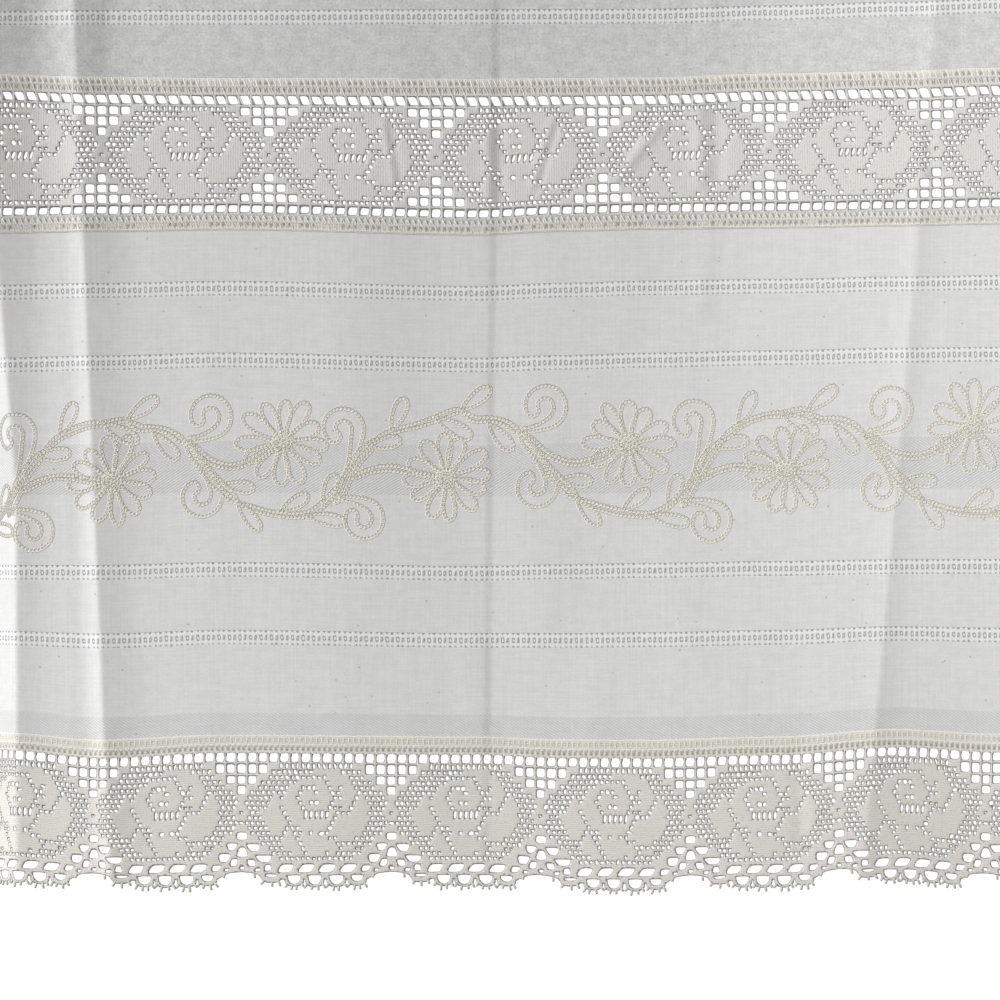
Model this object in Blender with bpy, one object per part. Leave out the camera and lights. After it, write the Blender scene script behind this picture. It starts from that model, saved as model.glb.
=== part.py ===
# Cotton curtain: a short panel of plain cloth with a filet lace insertion let in below its head and
# a scalloped filet lace edging along its foot, hanging in soft uneven folds.
# Metres, +Z up. The origin is the middle of the top edge, the front faces -Y.
# Flat places are in millimetres: "place" runs across the cut cloth from its middle, "drop" runs down
# from its top edge, and "depth" runs through the cloth from its middle surface towards the back.
from collections import namedtuple
import math

import bmesh
import bpy
import numpy as np

MM = 0.001

# Cut sizes
WIDTH = 660.0
LENGTH = 636.0
SHEET = 1.0
LAP_GAP = 0.35
TOP_HEM = 25.0
SIDE_HEM = 8.0
HEM_STEP = 0.6
HEM_FOLD = 0.9

# Drops of the edges of each piece
UPPER_FOOT = 159.0
INSERTION_TOP = 149.7
INSERTION_FOOT = 239.1
LOWER_TOP = 230.1
LOWER_FOOT = 553.2
EDGING_TOP = 544.5
EDGING_VALLEY = 625.2

# Both pieces of a lap are cut in rows at each other's edges, so that their facets lie on each other
LAP_ROWS = (INSERTION_TOP, UPPER_FOOT, LOWER_TOP, INSERTION_FOOT, EDGING_TOP, LOWER_FOOT)

# How the cloth turns. Each crease has its place at the top edge and at the foot, how far the cloth
# turns there in degrees at the top and at the foot, plus for a valley and minus for a ridge, and the
# width over which it bends.
LEFT_FACING = 55.0
Crease = namedtuple("Crease", "name top foot turn_top turn_foot width")
CREASES = (
    Crease("left corner", -307, -289, -70, -53, 6),
    Crease("left valley", -277, -276, 22, 5, 26),
    Crease("before the left ridge", -270, -243, 9, 26, 14),
    Crease("left ridge", -261, -234, -27, -38, 3.5),
    Crease("behind the left ridge", -228, -219, 11, 9, 26),
    Crease("left swell", -110, -118, -5, -6, 150),
    Crease("into the centre line", -3.6, -11.6, -10, -6, 3),
    Crease("out of the centre line", 0.8, -7.2, 10, 8.5, 3),
    Crease("middle swell", 62, 66, 2, -3, 110),
    Crease("right hollow", 150, 140, 13, -2, 90),
    Crease("before the right ridge", 261, 208, 8, 3, 18),
    Crease("right ridge", 272, 218, -12, -15, 3.5),
    Crease("behind the right ridge", 289, 224, 5, 7, 20),
    Crease("right edge", 316, 292, 1, 2, 24),
)

# How far the threads across lie above their level, in millimetres, at nine places across
LINE_PLACES = (-300, -240, -165, -15, 40, 90, 165, 240, 300)
Line = namedtuple("Line", "name drop rises")
LINES = (
    Line("top edge", 0, (0, 0, 0, 0, 0, 0, 0, 0, 0)),
    Line("first stripe", 112, (-1.2, -0.6, -0.6, 0, 0.3, 0.6, 2.7, 4.8, 6.6)),
    Line("insertion head", 163, (2.9, 0.9, 0, -0.6, 0, 0.5, 3.0, 4.2, 6.0)),
    Line("insertion foot", 227, (-1.4, -0.5, 0.4, -1.7, -0.2, 1.0, 1.7, 1.8, 3)),
    Line("third stripe", 318, (-1.8, -0.6, 1.2, -1.8, -0.2, 1.2, 2.7, 4.2, 4.8)),
    Line("fourth stripe", 444, (-0.6, -0.6, 1.2, -1.2, -0.2, 0.6, 1.8, 3, 3)),
    Line("edging head", 556, (2.4, -2.4, 0.8, -0.3, -2.4, -2.6, -0.1, 4.3, 1.6)),
    Line("foot", 636, (2.4, -1.0, -0.5, 0, -2.8, -2.8, 0, 3.6, -1.0)),
)

# Steps of the table in which the hanging form is worked out
PLACE_STEP = 0.5
DROP_STEP = 6.0

# Greatest and least distance between two section lines, and greatest between two rows, of the faceted cloth
SECTION_SPACING = 36.0
SECTION_GAP = 1.2
ROW_SPACING = 42.0
SNAP = 0.05
CUT_REACH = 3.0
WASTE = 4.0

# Filet lace: fourteen open cells to a repeat. Its ladders are cut two cells at a time, and so are the
# five cells over each open triangle, as spans that each have a middle and a width in cells
CELLS = 14
LADDER_SPAN = 2
TRIANGLE_SPANS = ((-1.5, 2), (0, 1), (1.5, 2))

# Rows of open cells: the drops of their top and foot, the thickness of the bar between two holes,
# and how far the foot of a hole lies to the right of its top
Row = namedtuple("Row", "top foot bar slant")

# Insertion: pitch of its roses, and the place of one open triangle
INSERTION_REPEAT = 100.4
INSERTION_TRIANGLE = -38.5
INSERTION_LADDERS = (Row(160.0, 164.6, 2.0, 1.5), Row(226.0, 229.8, 2.0, -1.0))
INSERTION_SQUARES = (Row(166.4, 171.0, 2.1, 0.4), Row(220.2, 224.2, 2.1, 0))

# Edging: pitch of its roses, and the place of one notch, which has an open triangle above it
EDGING_REPEAT = 89.8
EDGING_NOTCH = -65.4
EDGING_LADDER = Row(554.2, 559.4, 1.8, 0)
EDGING_SQUARES = Row(561.3, 566.8, 1.8, 0)

# Scalloped foot of the edging, between one notch and the next: each arch has its place from the
# notch, half its width, the drop of its lowest point, and the size of the hole in it, if it is cut
NOTCH_HALF = 8.0
ARCH_VALLEY = 629.6
Arch = namedtuple("Arch", "place half foot hole_half hole_top hole_foot")
ARCHES = (
    Arch(17.9, 5.8, 632.0, 0, 0, 0),
    Arch(31.6, 6.0, 634.6, 3.7, 627.2, 631.6),
    Arch(43.9, 6.0, 635.0, 3.8, 627.3, 632.0),
    Arch(56.9, 6.0, 635.0, 3.8, 627.3, 632.0),
    Arch(69.3, 6.0, 634.2, 3.6, 627.2, 631.2),
)
ARCH_POINTS = 6
ARCH_HOLE_POINTS = 5

# Slots above the arches and the fan over each notch: place from the notch, half width, drops of the
# top and the foot, and how far the foot lies to the right of the top
Slot = namedtuple("Slot", "place half top foot slant")
SLOTS = (
    Slot(26.6, 4.1, 620.6, 625.0, -1.6),
    Slot(39.0, 4.4, 620.6, 625.1, -1.6),
    Slot(51.4, 4.4, 620.6, 625.1, -1.6),
    Slot(64.0, 4.3, 620.6, 625.0, -1.6),
)
FAN = (
    Slot(0.6, 2.6, 608.8, 614.8, 0),
    Slot(-6.2, 2.5, 607.8, 612.2, -1.0),
    Slot(7.6, 2.7, 607.6, 612.0, 1.0),
    Slot(-10.6, 3.0, 614.2, 618.8, -0.8),
    Slot(13.2, 3.9, 614.3, 618.8, 1.2),
)

CLOTH_FINISH = {"colour": (0.80, 0.79, 0.77), "roughness": 0.9}
LACE_FINISH = {"colour": (0.76, 0.74, 0.68), "roughness": 0.88}


# How the cloth hangs

def eased(t):
    t = np.clip(t, 0, 1)
    return t * t * (3 - 2 * t)


def facing(place, drop):
    """Angle, in radians, at which the cloth comes forward from left to right."""
    share = drop / LENGTH
    angle = np.full(np.broadcast(place, drop).shape, LEFT_FACING)
    for crease in CREASES:
        at = crease.top + (crease.foot - crease.top) * share
        turn = crease.turn_top + (crease.turn_foot - crease.turn_top) * share
        angle = angle + turn * eased((place - at) / crease.width + 0.5)
    return np.radians(angle)


def section_tables():
    """Where each flat place lies across and in depth, for rows of the cloth from its head to its foot."""
    places = np.arange(-WIDTH / 2, WIDTH / 2 + PLACE_STEP / 2, PLACE_STEP)
    drops = np.arange(0, LENGTH + DROP_STEP, DROP_STEP)
    angle = facing(places[None, :], drops[:, None])
    between = (angle[:, 1:] + angle[:, :-1]) / 2
    start = np.zeros((len(drops), 1))
    across = np.hstack([start, np.cumsum(np.cos(between), axis=1)]) * PLACE_STEP
    back = -np.hstack([start, np.cumsum(np.sin(between), axis=1)]) * PLACE_STEP
    middle = len(places) // 2
    return across - across[:, middle:middle + 1], back - back[:, middle:middle + 1]


def read_table(table, place, drop):
    column = np.clip((place + WIDTH / 2) / PLACE_STEP, 0, table.shape[1] - 1.001)
    row = np.clip(drop / DROP_STEP, 0, table.shape[0] - 1.001)
    i, j = column.astype(int), row.astype(int)
    s, t = column - i, row - j
    upper = table[j, i] * (1 - s) + table[j, i + 1] * s
    lower = table[j + 1, i] * (1 - s) + table[j + 1, i + 1] * s
    return upper * (1 - t) + lower * t


def rise(place, drop):
    """How far a thread across lies above its level at each place."""
    at_lines = []
    for line in LINES:
        level = np.full(place.shape, float(line.rises[0]))
        for left, right, low, high in zip(LINE_PLACES, LINE_PLACES[1:], line.rises, line.rises[1:]):
            level = level + (high - low) * eased((place - left) / (right - left))
        at_lines.append(level)
    lift = at_lines[0]
    for above, below, upper, lower in zip(LINES, LINES[1:], at_lines, at_lines[1:]):
        share = np.clip((drop - above.drop) / (below.drop - above.drop), 0, 1)
        lift = lift + (lower - upper) * share
    return lift


ACROSS_TABLE, BACK_TABLE = section_tables()


def hang(bm):
    """Moves a flat sheet, modelled as (place, -drop, depth), to where it hangs, in metres."""
    flat = np.array([v.co for v in bm.verts]) / MM
    place, drop, depth = flat[:, 0], -flat[:, 1], flat[:, 2]
    angle = facing(place, drop)
    across = read_table(ACROSS_TABLE, place, drop) + depth * np.sin(angle)
    back = read_table(BACK_TABLE, place, drop) + depth * np.cos(angle)
    up = rise(place, drop) - drop
    for vert, x, y, z in zip(bm.verts, across, back, up):
        vert.co = (x * MM, y * MM, z * MM)


# Section lines and rows of the faceted cloth

def bend_shares(crease):
    """Where, across its width, a crease is cut, from -0.5 to 0.5: more cuts for a sharper turn."""
    if crease.width > SECTION_SPACING:
        return [0]
    cuts = 5 if abs(crease.turn_top) > 30 else 3
    return [k / (cuts - 1) - 0.5 for k in range(cuts)]


def clear_of(line, other):
    """Whether a section line keeps its least distance from another one from the top edge to the foot."""
    gaps = [own - far for own, far in zip(line, other)]
    return min(gaps) > SECTION_GAP or max(gaps) < -SECTION_GAP


def section_lines():
    """Pairs (place at the top edge, place at the foot), from left to right. Sharp creases come first, and
    a softer one gets no line where that would come too close to one of theirs."""
    lines = [(-WIDTH / 2, -WIDTH / 2), (WIDTH / 2, WIDTH / 2)]
    for crease in sorted(CREASES, key=lambda crease: -abs(crease.turn_top + crease.turn_foot) / crease.width):
        for share in bend_shares(crease):
            line = (crease.top + share * crease.width, crease.foot + share * crease.width)
            if all(clear_of(line, other) for other in lines):
                lines.append(line)
    lines.sort()
    filled = []
    for (top, foot), (next_top, next_foot) in zip(lines, lines[1:]):
        gap = max(next_top - top, next_foot - foot)
        steps = max(1, math.ceil(gap / SECTION_SPACING))
        for k in range(steps):
            filled.append((top + (next_top - top) * k / steps, foot + (next_foot - foot) * k / steps))
    return filled[1:]


def rows_between(top, foot):
    steps = max(1, math.ceil((foot - top) / ROW_SPACING))
    return [top + (foot - top) * k / steps for k in range(1, steps)]


def cut_along(bm, start, end):
    """Cuts a flat sheet through along the line between two (place, drop) points."""
    direction = (end[0] - start[0], start[1] - end[1])
    bmesh.ops.bisect_plane(
        bm, geom=bm.verts[:] + bm.edges[:] + bm.faces[:], dist=SNAP * MM,
        plane_co=(start[0] * MM, -start[1] * MM, 0), plane_no=(-direction[1], direction[0], 0))


def cut_sections(bm):
    for top, foot in section_lines():
        cut_along(bm, (top, 0), (foot, LENGTH))


def cut_rows(bm, top, foot, drops):
    """Cuts a flat sheet across at the given drops and at the edges of the laps that lie on it."""
    for drop in drops + [row for row in LAP_ROWS if top < row < foot]:
        cut_along(bm, (-WIDTH / 2, drop), (WIDTH / 2, drop))


def plate(top, foot):
    """A flat band of the panel between two drops, one sheet thick."""
    bm = bmesh.new()
    bmesh.ops.create_cube(bm, size=1)
    for vert in bm.verts:
        drop = (top + foot) / 2 - vert.co.y * (foot - top)
        vert.co = (vert.co.x * WIDTH * MM, -drop * MM, vert.co.z * SHEET * MM)
    return bm


# Cloth panels

def cloth_sheet(top, foot, has_top_hem):
    """A flat sheet with thicker turned hems on its back, at its sides and, if asked, at its top."""
    bm = plate(top, foot)
    cut_sections(bm)
    rows = rows_between(top, foot)
    if has_top_hem:
        rows = [TOP_HEM, TOP_HEM + HEM_STEP] + rows_between(TOP_HEM, foot)
    cut_rows(bm, top, foot, rows)
    for side in (-1, 1):
        for inset in (SIDE_HEM, SIDE_HEM + HEM_STEP):
            place = side * (WIDTH / 2 - inset)
            cut_along(bm, (place, 0), (place, LENGTH))
    for vert in bm.verts:
        in_side_hem = abs(vert.co.x) / MM > WIDTH / 2 - SIDE_HEM - HEM_STEP / 2
        in_top_hem = has_top_hem and -vert.co.y / MM < TOP_HEM + HEM_STEP / 2
        if vert.co.z > 0 and (in_side_hem or in_top_hem):
            vert.co.z += HEM_FOLD * MM
    return bm


# Lace

def box_hole(place, half, top, foot, slant):
    """Corners of a hole whose foot lies to the right of its top by the slant."""
    return [(place - half - slant / 2, top), (place + half - slant / 2, top),
            (place + half + slant / 2, foot), (place - half + slant / 2, foot)]


def repeats(first, pitch):
    """Places of everything that stands once in each repeat, across the whole width and a little past it."""
    count = math.ceil(WIDTH / pitch) + 1
    start = first - pitch * math.floor((first + WIDTH / 2) / pitch + 1)
    return [start + pitch * k for k in range(count + 1)]


def clear_of_sides(hole):
    return all(abs(place) < WIDTH / 2 - SIDE_HEM / 2 for place, drop in hole)


def row_holes(first, pitch, row, spans):
    """One row of holes in every repeat, each a number of cells wide less one bar."""
    cell = pitch / CELLS
    return [box_hole(centre + middle * cell, (wide * cell - row.bar) / 2, row.top, row.foot, row.slant)
            for centre in repeats(first, pitch) for middle, wide in spans]


def ladder_spans():
    """The whole repeat in spans of two cells, so that a bar stands over the middle of a triangle's side cells."""
    return [(LADDER_SPAN * k + LADDER_SPAN / 2 - 0.5, LADDER_SPAN) for k in range(CELLS // LADDER_SPAN)]


def insertion_holes():
    holes = []
    for row in INSERTION_LADDERS:
        holes += row_holes(INSERTION_TRIANGLE, INSERTION_REPEAT, row, ladder_spans())
    for row in INSERTION_SQUARES:
        holes += row_holes(INSERTION_TRIANGLE, INSERTION_REPEAT, row, TRIANGLE_SPANS)
    return [hole for hole in holes if clear_of_sides(hole)]


def arch_curve(place, half, top, foot, points):
    """Half an ellipse hanging from the level of its top, from left to right."""
    turns = [math.pi * k / (points - 1) for k in range(points)]
    return [(place - half * math.cos(turn), top + (foot - top) * math.sin(turn)) for turn in turns]


def scallop_waste():
    """What is cut away below the foot of the edging, past both sides of the lace."""
    foot = []
    for notch in repeats(EDGING_NOTCH, EDGING_REPEAT):
        foot += [(notch - NOTCH_HALF, EDGING_VALLEY), (notch + NOTCH_HALF, EDGING_VALLEY)]
        for arch in ARCHES:
            foot += arch_curve(notch + arch.place, arch.half, ARCH_VALLEY, arch.foot, ARCH_POINTS)
    return foot + [(foot[-1][0], LENGTH + WASTE), (foot[0][0], LENGTH + WASTE)]


def edging_holes():
    holes = row_holes(EDGING_NOTCH, EDGING_REPEAT, EDGING_LADDER, ladder_spans())
    holes += row_holes(EDGING_NOTCH, EDGING_REPEAT, EDGING_SQUARES, TRIANGLE_SPANS)
    for notch in repeats(EDGING_NOTCH, EDGING_REPEAT):
        for slot in SLOTS + FAN:
            holes.append(box_hole(notch + slot.place, slot.half, slot.top, slot.foot, slot.slant))
        for arch in ARCHES:
            if arch.hole_half:
                place, half = notch + arch.place, arch.hole_half
                holes.append(arch_curve(place, half, arch.hole_top, arch.hole_foot, ARCH_HOLE_POINTS))
    return [hole for hole in holes if clear_of_sides(hole)]


def prisms(rings):
    """Flat rings raised past both faces of the lace, as one cutter."""
    curve = bpy.data.curves.new("lace cuts", "CURVE")
    curve.dimensions = "2D"
    curve.fill_mode = "BOTH"
    curve.extrude = CUT_REACH * MM
    for ring in rings:
        spline = curve.splines.new("POLY")
        spline.points.add(len(ring) - 1)
        for point, (place, drop) in zip(spline.points, ring):
            point.co = (place * MM, -drop * MM, 0, 1)
        spline.use_cyclic_u = True
    flat = bpy.data.objects.new("lace cuts", curve)
    bpy.context.scene.collection.objects.link(flat)
    evaluated = flat.evaluated_get(bpy.context.evaluated_depsgraph_get())
    mesh = bpy.data.meshes.new_from_object(evaluated)
    bpy.data.objects.remove(flat)
    bm = bmesh.new()
    bm.from_mesh(mesh)
    bmesh.ops.remove_doubles(bm, verts=bm.verts, dist=0.01 * MM)
    bmesh.ops.recalc_face_normals(bm, faces=bm.faces)
    bm.to_mesh(mesh)
    bm.free()
    return mesh


def cut_out(bm, rings):
    """The flat sheet with the rings cut through it."""
    mesh = bpy.data.meshes.new("flat lace")
    bm.to_mesh(mesh)
    bm.free()
    sheet = bpy.data.objects.new("flat lace", mesh)
    cutter = bpy.data.objects.new("lace cuts", prisms(rings))
    for flat in (sheet, cutter):
        bpy.context.scene.collection.objects.link(flat)
    cut = sheet.modifiers.new("cut", "BOOLEAN")
    cut.operation = "DIFFERENCE"
    cut.solver = "EXACT"
    cut.object = cutter
    evaluated = sheet.evaluated_get(bpy.context.evaluated_depsgraph_get())
    open_work = bmesh.new()
    open_work.from_mesh(evaluated.to_mesh())
    for flat in (sheet, cutter):
        bpy.data.objects.remove(flat)
    return open_work


def lace_sheet(top, foot, rings):
    """A flat band of open work, lapped in front of the cloth."""
    bm = plate(top, foot)
    cut_sections(bm)
    cut_rows(bm, top, foot, [])
    bm = cut_out(bm, rings)
    for vert in bm.verts:
        vert.co.z -= (SHEET + LAP_GAP) * MM
    return bm


# Putting the pieces together

def finish(name, values):
    material = bpy.data.materials.new(name)
    material.use_nodes = True
    shader = material.node_tree.nodes["Principled BSDF"]
    shader.inputs["Base Color"].default_value = (*values["colour"], 1)
    shader.inputs["Roughness"].default_value = values["roughness"]
    shader.inputs["Metallic"].default_value = 0
    return material


def add_piece(name, bm, values, collection):
    """Hangs a flat sheet, closes it with outward faces and adds it as one node."""
    bmesh.ops.triangulate(bm, faces=bm.faces)
    hang(bm)
    bm.normal_update()
    bmesh.ops.recalc_face_normals(bm, faces=bm.faces)
    mesh = bpy.data.meshes.new(name)
    bm.to_mesh(mesh)
    bm.free()
    mesh.shade_smooth()
    mesh.set_sharp_from_angle(angle=math.radians(40))
    mesh.materials.append(finish(name + "_finish", values))
    piece = bpy.data.objects.new(name, mesh)
    collection.objects.link(piece)
    return piece


def main():
    for old in list(bpy.data.objects):
        bpy.data.objects.remove(old)
    curtain = bpy.data.collections.new("cotton_curtain")
    bpy.context.scene.collection.children.link(curtain)
    add_piece("cloth_upper", cloth_sheet(0, UPPER_FOOT, True), CLOTH_FINISH, curtain)
    add_piece("cloth_lower", cloth_sheet(LOWER_TOP, LOWER_FOOT, False), CLOTH_FINISH, curtain)
    add_piece("lace_insertion", lace_sheet(INSERTION_TOP, INSERTION_FOOT, insertion_holes()), LACE_FINISH, curtain)
    add_piece("lace_edging", lace_sheet(EDGING_TOP, LENGTH, [scallop_waste()] + edging_holes()), LACE_FINISH, curtain)


main()
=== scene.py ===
# Looks of a short cotton curtain: plain woven cloth with drawn-work stripes and twill bands, a filet lace
# insertion, a scalloped filet edging and a vine in chain stitch.
# Each piece is worked flat, in millimetres of the cut cloth: x across from its middle, y up from its top
# edge (so y is minus the drop), z out of its front. It is then hung on the folds that the solids have.
import math
from collections import namedtuple

import bpy
import numpy as np
from mathutils.geometry import delaunay_2d_cdt
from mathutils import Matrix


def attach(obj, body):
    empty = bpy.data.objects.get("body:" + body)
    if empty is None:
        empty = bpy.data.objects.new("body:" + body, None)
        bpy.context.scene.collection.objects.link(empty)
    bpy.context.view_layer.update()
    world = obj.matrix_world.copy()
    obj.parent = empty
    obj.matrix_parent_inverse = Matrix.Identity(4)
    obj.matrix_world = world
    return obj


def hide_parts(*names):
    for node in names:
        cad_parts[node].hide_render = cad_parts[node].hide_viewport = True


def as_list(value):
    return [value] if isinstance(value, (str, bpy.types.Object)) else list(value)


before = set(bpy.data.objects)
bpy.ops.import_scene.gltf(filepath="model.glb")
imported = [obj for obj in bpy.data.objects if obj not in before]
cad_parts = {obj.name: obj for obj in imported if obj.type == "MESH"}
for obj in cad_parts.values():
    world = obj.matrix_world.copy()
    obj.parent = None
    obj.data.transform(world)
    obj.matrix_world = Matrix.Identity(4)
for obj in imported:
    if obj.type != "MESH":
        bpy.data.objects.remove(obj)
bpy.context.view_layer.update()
mm = 0.001

panel = {
    "width": 660.0, "length": 636.0,
    "leftFacing": 55.0,      # degrees that the turned-back left edge faces left
    "placeStep": 0.5, "dropStep": 6.0,      # steps of the tables of the hanging form
}
halfPanel = panel["width"] / 2


def table(fields, *rows, spare=()):
    row = namedtuple("row", fields, defaults=spare)
    return [row(*values) for values in rows]


# Creases: places and turns, in degrees, at the top edge and at the foot, and the width of the bend
creases = table(
    "name top foot turnTop turnFoot width",
    ("left corner", -308, -292, -70, -53, 5),
    ("left valley", -277, -276, 22, 5, 26),
    ("before the left ridge", -270, -243, 9, 26, 14),
    ("left ridge", -261, -234, -27, -40, 3.5),
    ("behind the left ridge", -228, -219, 11, 9, 26),
    ("left swell", -110, -118, -5, -6, 150),
    ("into the centre line", -3.6, -11.6, -10, -6, 3),
    ("out of the centre line", 0.8, -7.2, 10, 8.5, 3),
    ("middle swell", 62, 66, 2, -3, 110),
    ("right hollow", 150, 140, 13, -2, 90),
    ("before the right ridge", 261, 208, 8, 3, 18),
    ("right ridge", 272, 218, -12, -15, 3.5),
    ("behind the right ridge", 289, 224, 5, 7, 20),
    ("right edge", 316, 292, 1, 2, 24),
)
cornerBend = (200, 396)     # the left corner leans only between these two drops

# How far the threads across lie above their level, at nine places across
linePlaces = (-300, -240, -165, -15, 40, 90, 165, 240, 300)
lines = table(
    "name drop rises",
    ("top edge", 0, (0, 0, 0, 0, 0, 0, 0, 0, 0)),
    ("first stripe", 112, (-1.2, -0.6, -0.6, 0, 0.3, 0.6, 2.7, 4.8, 6.6)),
    ("insertion head", 163, (2.9, 0.9, 0, -0.6, 0, 0.5, 3.0, 4.2, 6.0)),
    ("insertion foot", 227, (-1.4, -0.5, 0.4, -2.6, -0.2, 1.0, 1.7, 2.8, 4)),
    ("third stripe", 318, (-2.2, -1.0, 0.8, -2.2, -0.6, 0.8, 2.3, 3.8, 4.4)),
    ("fourth stripe", 444, (-1.5, -1.5, 0.3, -2.1, -1.1, -0.3, 0.8, 1.8, 2)),
    ("edging head", 556, (2.4, -2.4, 0.8, -0.3, -2.4, -2.7, -0.8, 4.0, 0.8)),
    ("foot", 636, (2.4, -1.0, -0.5, 0, -2.8, -3.0, -0.9, 2.8, -2.4)),
)

# Small soft creases: a ridge has a height above 0, a trough below it
softCreases = table(
    "name place top foot lean width height",
    ("pucker of the third rose", -71.5, 168, 216, 0.18, 2.4, 0.5),
    ("hollow of the third rose", -67.5, 168, 218, 0.18, 2.4, -0.55),
    ("centre ridge in the lace", -8.5, 160, 232, 0.02, 3.6, 0.6),
    ("centre trough in the lace", -1.0, 160, 232, 0.02, 3.6, -0.7),
    ("pucker of the fourth rose", 32.4, 170, 220, -0.3, 2.4, 0.5),
    ("hollow of the fourth rose", 36.2, 170, 220, -0.3, 2.4, -0.5),
    ("slanting pucker", 106.0, 164, 216, -0.77, 4.0, 0.85),
    ("ridge in the fifth rose", 119.4, 158, 222, 0.02, 4.6, 0.8),
    ("trough in the fifth rose", 130.4, 158, 222, 0.02, 5.0, -0.7),
    ("fold under the fifth rose", 124.0, 226, 300, -0.05, 5.0, 0.5),
    ("fold of the last rose", 258.0, 150, 236, 0.02, 4.0, -0.9),
    ("ridge above the insertion", 124.0, 40, 150, 0.02, 6.0, 0.4),
    ("trough in the left panel", -236.0, 100, 150, 0.0, 5.0, -0.5),
    ("swell above the edging", -20.0, 470, 560, 0.1, 12.0, 0.5),
    ("second swell above it", 60.0, 480, 600, -0.1, 10.0, 0.4),
    ("trough in the edging", 178.0, 540, 626, 0.05, 5.0, -0.6),
)

# The cloth's small unevenness: a wave of the usual length has the full height
cockle = {"seed": 11, "waves": 14, "height": 0.05, "usual": 60, "longest": 130.0, "shortest": 28.0,
          "turn": 0.9}
fadeIn = 2.5      # of a soft crease's height from its ends


def eased(t):
    t = np.clip(t, 0, 1)
    return t * t * (3 - 2 * t)


def creasePlace(crease, drop):
    start, end = cornerBend if crease.name == "left corner" else (0, panel["length"])
    return crease.top + (crease.foot - crease.top) * np.clip((drop - start) / (end - start), 0, 1)


def facing(place, drop):
    share = drop / panel["length"]
    angle = np.full(np.broadcast(place, drop).shape, panel["leftFacing"])
    for crease in creases:
        turn = crease.turnTop + (crease.turnFoot - crease.turnTop) * share
        angle = angle + turn * eased((place - creasePlace(crease, drop)) / crease.width + 0.5)
    return np.radians(angle)


def sectionTables():
    step = panel["placeStep"]
    places = np.arange(-halfPanel, halfPanel + step / 2, step)
    drops = np.arange(0, panel["length"] + panel["dropStep"], panel["dropStep"])
    angle = facing(places[None, :], drops[:, None])
    between = (angle[:, 1:] + angle[:, :-1]) / 2
    start = np.zeros((len(drops), 1))
    across = np.hstack([start, np.cumsum(np.cos(between), axis=1)]) * step
    back = -np.hstack([start, np.cumsum(np.sin(between), axis=1)]) * step
    middle = len(places) // 2
    return across - across[:, middle:middle + 1], back - back[:, middle:middle + 1]


acrossTable, backTable = sectionTables()


def readTable(table, place, drop):
    column = np.clip((place + halfPanel) / panel["placeStep"], 0, table.shape[1] - 1.001)
    row = np.clip(drop / panel["dropStep"], 0, table.shape[0] - 1.001)
    i, j = column.astype(int), row.astype(int)
    s, t = column - i, row - j
    upper = table[j, i] * (1 - s) + table[j, i + 1] * s
    lower = table[j + 1, i] * (1 - s) + table[j + 1, i + 1] * s
    return upper * (1 - t) + lower * t


def rise(place, drop):
    atLines = []
    for line in lines:
        level = np.full(place.shape, float(line.rises[0]))
        for left, right, low, high in zip(linePlaces, linePlaces[1:], line.rises, line.rises[1:]):
            level = level + (high - low) * eased((place - left) / (right - left))
        atLines.append(level)
    lift = atLines[0]
    for above, below, upper, lower in zip(lines, lines[1:], atLines, atLines[1:]):
        share = np.clip((drop - above.drop) / (below.drop - above.drop), 0, 1)
        lift = lift + (lower - upper) * share
    return lift


def relief(place, drop):
    height = np.zeros(place.shape)
    for crease in softCreases:
        middle = (crease.top + crease.foot) / 2
        reach = (crease.foot - crease.top) / 2
        along = np.clip(1 - np.abs(drop - middle) / reach, 0, 1)
        off = (place - crease.place - crease.lean * (drop - crease.top)) / crease.width
        height = height + crease.height * np.exp(-off * off) * eased(along * fadeIn)
    rng = np.random.default_rng(cockle["seed"])
    for _ in range(cockle["waves"]):
        length = rng.uniform(cockle["shortest"], cockle["longest"])
        turn, phase = rng.uniform(-cockle["turn"], cockle["turn"]), rng.uniform(0, 2 * math.pi)
        along = place * math.cos(turn) + drop * math.sin(turn) * 0.5
        swing = np.sin(2 * math.pi * along / length + phase)
        height = height + cockle["height"] * length / cockle["usual"] * swing
    return height


def hang(mesh):
    flat = np.zeros(len(mesh.vertices) * 3, np.float32)
    mesh.vertices.foreach_get("co", flat)
    flat = flat.reshape(-1, 3).astype(float)
    place, drop, depth = flat[:, 0], -flat[:, 1], -flat[:, 2]
    corners = np.zeros(len(mesh.loops), np.int32)
    mesh.loops.foreach_get("vertex_index", corners)
    cut = np.stack([place / panel["width"] + 0.5, 1 - drop / panel["length"]], 1)[corners]
    layer = mesh.uv_layers.new(name="cut")
    layer.uv.foreach_set("vector", cut.astype(np.float32).ravel())
    angle = facing(place, drop)
    depth = depth - relief(place, drop)
    across = readTable(acrossTable, place, drop) + depth * np.sin(angle)
    back = readTable(backTable, place, drop) + depth * np.cos(angle)
    hung = np.stack([across, back, rise(place, drop) - drop], 1) * mm
    mesh.vertices.foreach_set("co", hung.astype(np.float32).ravel())
    mesh.update()


print("hanging tables ready")

# Node helpers: the short ones find their tree by the first socket that they are given

def addNode(tree, kind, values=None, **settings):
    node = tree.nodes.new(kind)
    for key, value in settings.items():
        setattr(node, key, value)
    for key, value in (values or {}).items():
        if isinstance(value, bpy.types.NodeSocket):
            tree.links.new(value, node.inputs[key])
        else:
            node.inputs[key].default_value = value
    return node


def first(tree, kind, values=None, **settings):
    return addNode(tree, kind, values, **settings).outputs[0]


def nodeMaker(kind, operation):
    def made(*values):
        tree = next(value for value in values if isinstance(value, bpy.types.NodeSocket)).id_data
        return first(tree, kind, dict(enumerate(values)), operation=operation)
    return made


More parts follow.
